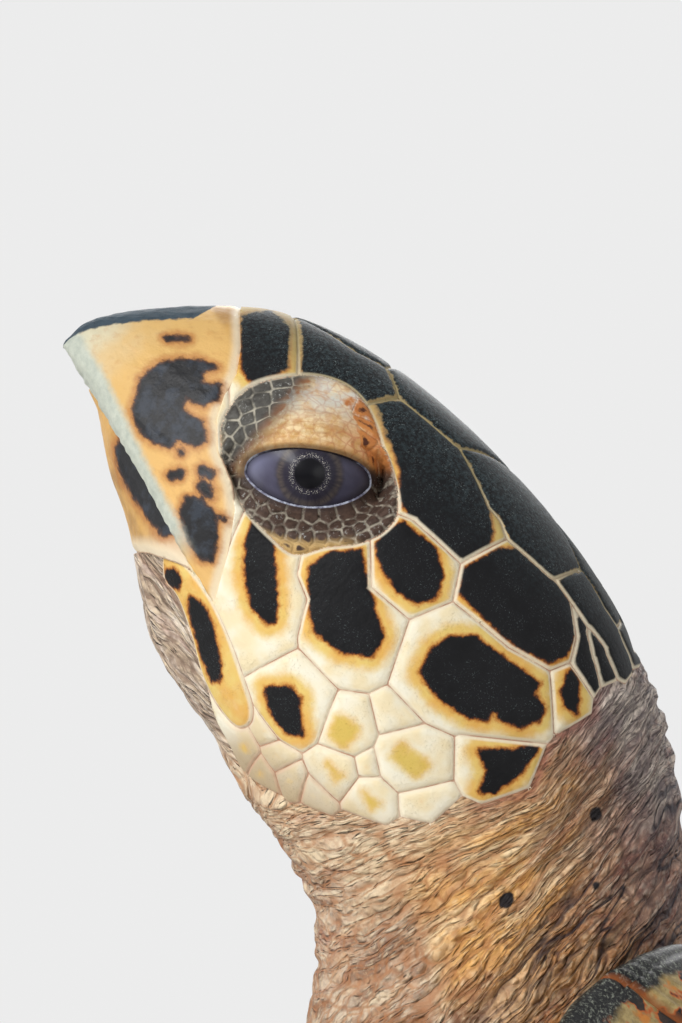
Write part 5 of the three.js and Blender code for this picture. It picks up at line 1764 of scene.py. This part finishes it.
def eye_material():
    """A dark wet eye: black pupil in a ring of painted glints, violet-brown iris, lavender-grey ball with
    painted light in front and painted shade behind and under the lids.
    """
    m = Shader("eye", Roughness=0.3, Coat_Weight=0.03, Coat_Roughness=0.08, Specular_IOR_Level=0.15)
    place = m.vector("place")
    away, lid = m.facts("away", "lid")
    back, high, _ = m.parts(place)
    angle = m.sum("ARCTAN2", high, back)
    rays = m.joined(m.sum("COSINE", angle), m.sum("SINE", angle), m.times(away, 0.04))
    rays = m.noise(rays, 0.12, 3.0, 0.6)
    brown = m.times(m.near(away, 7.4, 1.5), m.between(rays, 0.35, 0.65, 0.3, 0.75))
    iris = m.layers(m.mix(rays, (30, 28, 37), (58, 54, 68)), (brown, (96, 86, 78)))
    # The ball is painted lighter in front and greyer behind, as light and shade fall, and darker near the
    # lids' edge as painted shade of the lids.
    ball = m.layers(
        m.mix(m.noise(m.stretched(place, 0.5, 1, 1), 4.0), (56, 54, 70), (90, 88, 108)),
        (m.between(back, -7, -14, 0.0, 0.8), (128, 130, 158)),
        (m.between(back, 9, 15, 0.0, 0.8), (84, 80, 82)),
        (m.between(lid, -2.6, -0.4, 0.0, 0.75), (40, 36, 46)))
    blend = m.wobble(away, 1.6, m.noise(place, 3.0))
    wavy = m.wobble(away, 1.2, m.noise(place, 1.2, 3.0))
    # A ring of bright specks round the pupil: painted glints.
    painted_glints = m.times(m.between(m.cells(place, 3.4), 0.42, 0.2), m.near(wavy, IRIS["pupil"] + 0.6, 0.9))
    m.colour(m.layers(
        m.tones(blend, IRIS["radius"] - 0.9, IRIS["radius"] + 0.7, iris, ball),
        (m.between(away, IRIS["pupil"] + 0.4, IRIS["pupil"] - 0.6), (10, 9, 15)),
        (painted_glints, (212, 208, 198))))
    return m.material


def claw_material():
    """Dark horn that pales towards the tip."""
    m = Shader("claw_horn", Roughness=0.35, Coat_Weight=0.2)
    along, = m.facts("along")
    streak = m.noise(m.stretched(m.add("TexCoord").outputs["Object"], 1, 1, 0.3), 0.002, 4.0)
    m.colour(m.tones(m.plus(along, m.times(streak, 0.25)), 0.35, 0.95, (84, 62, 42), (206, 170, 112)))
    m.bump((streak, 0.2))
    return m.material


def scute_material():
    """Tortoiseshell: clear amber with dark flames that fan out from behind the middle."""
    m = Shader("tortoiseshell", Roughness=0.3, Specular_IOR_Level=0.35, Coat_Weight=0.2, Coat_Roughness=0.15)
    place, start = m.vector("place"), m.vector("start")
    depth, = m.facts("depth")
    across, ahead, _ = m.parts(start)
    angle = m.sum("ARCTAN2", across, ahead)
    far = m.add("VectorMath", {0: m.stretched(start, 1, 1, 0)}, operation="LENGTH").outputs["Value"]
    fan = m.joined(
        m.times(m.sum("COSINE", angle), 5.0), m.times(m.sum("SINE", angle), 5.0), m.times(far, 0.02))
    flame = m.noise(m.moved(fan, m.stretched(place, 0.03, 0.03, 0.03)), 1.5, 4.0, 0.6, 0.3)
    cloud = m.noise(place, 16.0, 4.0, 0.6)
    dark = m.plus(m.times(flame, 0.65), m.times(cloud, 0.35))
    m.colour(m.layers(
        m.mix(m.noise(place, 20.0), (206, 132, 48), (160, 84, 28)),
        (m.between(cloud, 0.52, 0.7), (222, 178, 92)),
        (m.between(dark, 0.55, 0.47), (92, 44, 18)),
        (m.between(dark, 0.52, 0.44), (30, 20, 15)),
        (m.between(depth, 3.0, 0.3, 0.0, 0.7), (48, 28, 16))))
    m.roughness(m.between(m.noise(place, 6.0, 4.0), 0.3, 0.7, 0.2, 0.36))
    waves = {"Vector": m.joined(depth), "Scale": 0.16, "Distortion": 1.2}
    growth = m.add("TexWave", waves, bands_direction="X").outputs["Fac"]
    m.bump((growth, 0.05), (m.noise(place, 2.2, 5.0, 0.65), 0.12))
    return m.material


def rim_material():
    """Marginal scutes: black and brown horn, with pale olive blotches and streaks out to their points."""
    m = Shader("marginal_scutes", Roughness=0.45, Specular_IOR_Level=0.22)
    place = m.vector("place")
    seam, lap, share, number = m.facts("seam", "lap", "share", "plate")
    spread = m.joined(m.plus(m.times(lap, 6.0), m.times(number, 3.7)), m.times(share, 9.0))
    streak = m.noise(spread, 1.1, 4.0, 0.6, 0.5)
    cloud = m.noise(place, 15.0, 5.0, 0.62, 0.6)
    fine = m.noise(place, 3.0, 5.0, 0.7)
    front = m.between(m.parts(place)[1], 285, 305)
    light = m.plus(m.times(streak, 0.45), m.times(cloud, 0.55))
    light = m.plus(light, m.times(m.minus(share, 0.94), 0.5))
    light = m.mix(front, light, m.plus(m.noise(place, 10.0, 3.0, 0.6), 0.05))
    pale = m.layers(
        m.tones(fine, 0.38, 0.62, (184, 162, 110), (146, 124, 78)),
        (m.between(m.noise(place, 7.0, 3.0), 0.55, 0.7), (206, 132, 58)))
    dark = m.tones(fine, 0.45, 0.65, (24, 21, 21), (58, 40, 28))
    vein = m.mix(front, (118, 64, 30), (190, 98, 44))
    edge = m.times(m.between(m.wobble(share, 0.03, cloud), 0.972, 0.98), front, m.between(share, 1.4, 1.1))
    m.colour(m.layers(
        m.tones(light, 0.495, 0.53, dark, m.tones(light, 0.52, 0.56, vein, pale)),
        (m.between(m.noise(place, 1.2, 4.0, 0.7), 0.62, 0.7, 0.0, 0.6), (138, 140, 128)),
        (edge, m.tones(m.noise(place, 0.9, 4.0, 0.75), 0.5, 0.66, (16, 16, 18), (132, 136, 124))),
        (m.between(seam, 1.3, 0.3, 0.0, 0.85), (150, 84, 42)),
        (m.between(share, 1.4, 1.9), m.tones(cloud, 0.58, 0.64, (226, 196, 132), (70, 48, 34)))))
    m.bump((m.noise(place, 2.0, 5.0, 0.65), 0.25), (m.between(seam, 0.0, 1.2), 0.3))
    return m.material


def plastron_material():
    """Pale yellow belly scutes with brownish clouds and soft seams."""
    m = Shader("plastron_horn", Roughness=0.38, Coat_Weight=0.2, Coat_Roughness=0.25)
    place = m.vector("place")
    seam, = m.facts("seam")
    m.colour(m.layers(
        m.tones(m.noise(place, 34.0, 4.0, 0.6), 0.35, 0.65, (238, 214, 158), (222, 186, 116)),
        (m.between(m.noise(place, 9.0, 4.0, 0.65), 0.58, 0.72, 0.0, 0.35), (170, 116, 66)),
        (m.between(seam, 9.0, 1.0, 0.0, 0.3), (244, 228, 184)),
        (m.between(seam, 1.2, 0.2, 0.0, 0.75), (142, 98, 58))))
    m.bump((m.noise(place, 1.8, 5.0, 0.6), 0.14), (m.between(seam, 0.0, 1.4), 0.3))
    return m.material


def wood_material():
    m = Shader("walnut", Roughness=0.38, Coat_Weight=0.3, Coat_Roughness=0.25)
    place = m.vector("place")
    veins = m.noise(m.stretched(place, 1.0, 0.06, 1.0), 7.0, 6.0, 0.6, 0.6)
    pore = m.noise(m.stretched(place, 1.0, 0.05, 1.0), 1.1, 3.0, 0.6)
    m.colour(m.layers(
        m.tones(veins, 0.35, 0.65, (64, 40, 26), (112, 74, 46)),
        (m.between(pore, 0.55, 0.75, 0.0, 0.5), (42, 26, 18))))
    m.bump((pore, 0.08))
    return m.material


def metal_material():
    m = Shader("brushed_steel", Metallic=1.0)
    brushed = m.noise(m.stretched(m.vector("place"), 1.0, 1.0, 0.04), 0.5, 3.0, 0.6)
    m.colour(m.mix(brushed, (172, 176, 180), (206, 209, 212)))
    m.roughness(m.between(brushed, 0.3, 0.7, 0.24, 0.36))
    m.bump((brushed, 0.02))
    return m.material


# ------------------------------------------------------------------ stage, lights and camera
WORLD_LEVEL, SURROUND = 0.36, 0.84  # strength of the light all round, and of the pale surround as it is seen
FLOOR_REACH = 9.0
CAMERA = {"target": (0.006717, -0.257267, 0.834777), "azimuth": math.radians(100), "away": 1.0,
          "height": 0.25575}  # the height is that of the view at the target


def floor():
    """A pale floor that fades into the surround, brightened for the camera and not for the light."""
    corners = [(x * FLOOR_REACH, y * FLOOR_REACH, 0) for x, y in ((-1, -1), (1, -1), (1, 1), (-1, 1))]
    mesh = bpy.data.meshes.new("floor")
    mesh.from_pydata(corners, [], [(0, 1, 2, 3)])
    add_object("floor", mesh)
    m = Shader("floor", Roughness=0.9)
    place = m.add("TexCoord").outputs["Object"]
    m.colour(m.mix(m.noise(place, 0.4), (226, 226, 224), (230, 230, 228)))
    far = m.add("VectorMath", {0: place}, operation="LENGTH").outputs["Value"]
    seen = m.add("LightPath").outputs["Is Camera Ray"]
    glow = m.add("Emission", {"Color": (255, 255, 255), "Strength": SURROUND}).outputs[0]
    share = m.times(m.between(far, 0.5, 1.7), seen)
    blend = m.add("MixShader", {0: share, 1: m.surface.outputs[0], 2: glow}).outputs[0]
    m.feed(m.tree.nodes["Material Output"].inputs["Surface"], blend)
    mesh.materials.append(m.material)


def surround():
    """Even white light all round, shown brighter to the camera and in reflections."""
    world = bpy.data.worlds.new("studio")
    bpy.context.scene.world = world
    world.use_nodes = True
    tree = world.node_tree
    path, seen, level = (tree.nodes.new("ShaderNode" + kind) for kind in ("LightPath", "Math", "MapRange"))
    seen.operation = "MAXIMUM"
    level.inputs["To Min"].default_value = WORLD_LEVEL
    level.inputs["To Max"].default_value = SURROUND
    background = tree.nodes["Background"].inputs
    background["Color"].default_value = (1, 1, 1, 1)
    tree.links.new(path.outputs["Is Camera Ray"], seen.inputs[0])
    tree.links.new(path.outputs["Is Glossy Ray"], seen.inputs[1])
    tree.links.new(seen.outputs[0], level.inputs["Value"])
    tree.links.new(level.outputs[0], background["Strength"])


def facing_target(made):
    """The rotation that points a lamp or the camera at the camera's target."""
    return (Vector(CAMERA["target"]) - made.location).to_track_quat("-Z", "Y").to_euler()


def lamp(name, place, size, power):
    """A round soft lamp, its size in metres and its power in watts."""
    light = bpy.data.lights.new(name, "AREA")
    light.shape, light.size, light.energy = "DISK", size, power
    made = add_object(name, light)
    made.location = place
    made.rotation_euler = facing_target(made)


def lights():
    lamp("key", (2.0, -1.5, 2.3), 1.0, 48)
    lamp("fill", (1.9, 1.7, 0.9), 1.6, 11)
    lamp("far_side", (-2.2, -0.6, 1.8), 1.6, 26)
    lamp("front_low", (0.8, -2.4, 0.5), 1.4, 12)


def camera():
    """The photograph's level view of the head's left side."""
    data = bpy.data.cameras.new("camera")
    made = add_object("camera", data)
    angle = CAMERA["azimuth"]
    made.location = Vector(CAMERA["target"]) + CAMERA["away"] * Vector((math.sin(angle), -math.cos(angle), 0))
    made.rotation_euler = facing_target(made)
    data.sensor_fit, data.sensor_height = "VERTICAL", 36
    data.lens = data.sensor_height * CAMERA["away"] / CAMERA["height"]
    data.clip_start, data.clip_end = 0.05, 20
    bpy.context.scene.camera = made


# ------------------------------------------------------------------ the whole animal on its stand
def build():
    camera()
    floor()
    surround()
    lights()
    bpy.context.scene.view_settings.view_transform = "Standard"
    beak, eye, claw = beak_material(), eye_material(), claw_material()
    skin_piece([plate_material(), soft_material()])
    horn_piece("upper_beak", beak_outline(), 0, beak, "upper_beak", upper_beak_facts)
    horn_piece("lower_beak", lower_beak_outline(), JAW_INSET, beak, "lower_jaw", lower_beak_facts)
    for name, side in SIDES.items():
        eye_piece(f"eye_{name}", side, eye)
        for limb_name, (rows, claws) in CLAWS.items():
            for number, spec in enumerate(claws, start=1):
                claw_piece(f"claw_{limb_name}_{name}_{number}", rows, spec, side, claw)
    carapace_piece(rim_material())
    tortoiseshell = scute_material()
    for name in SCUTES:
        scute_piece(name, tortoiseshell)
    plastron_piece(plastron_material())
    stand_pieces(wood_material(), metal_material())


build()
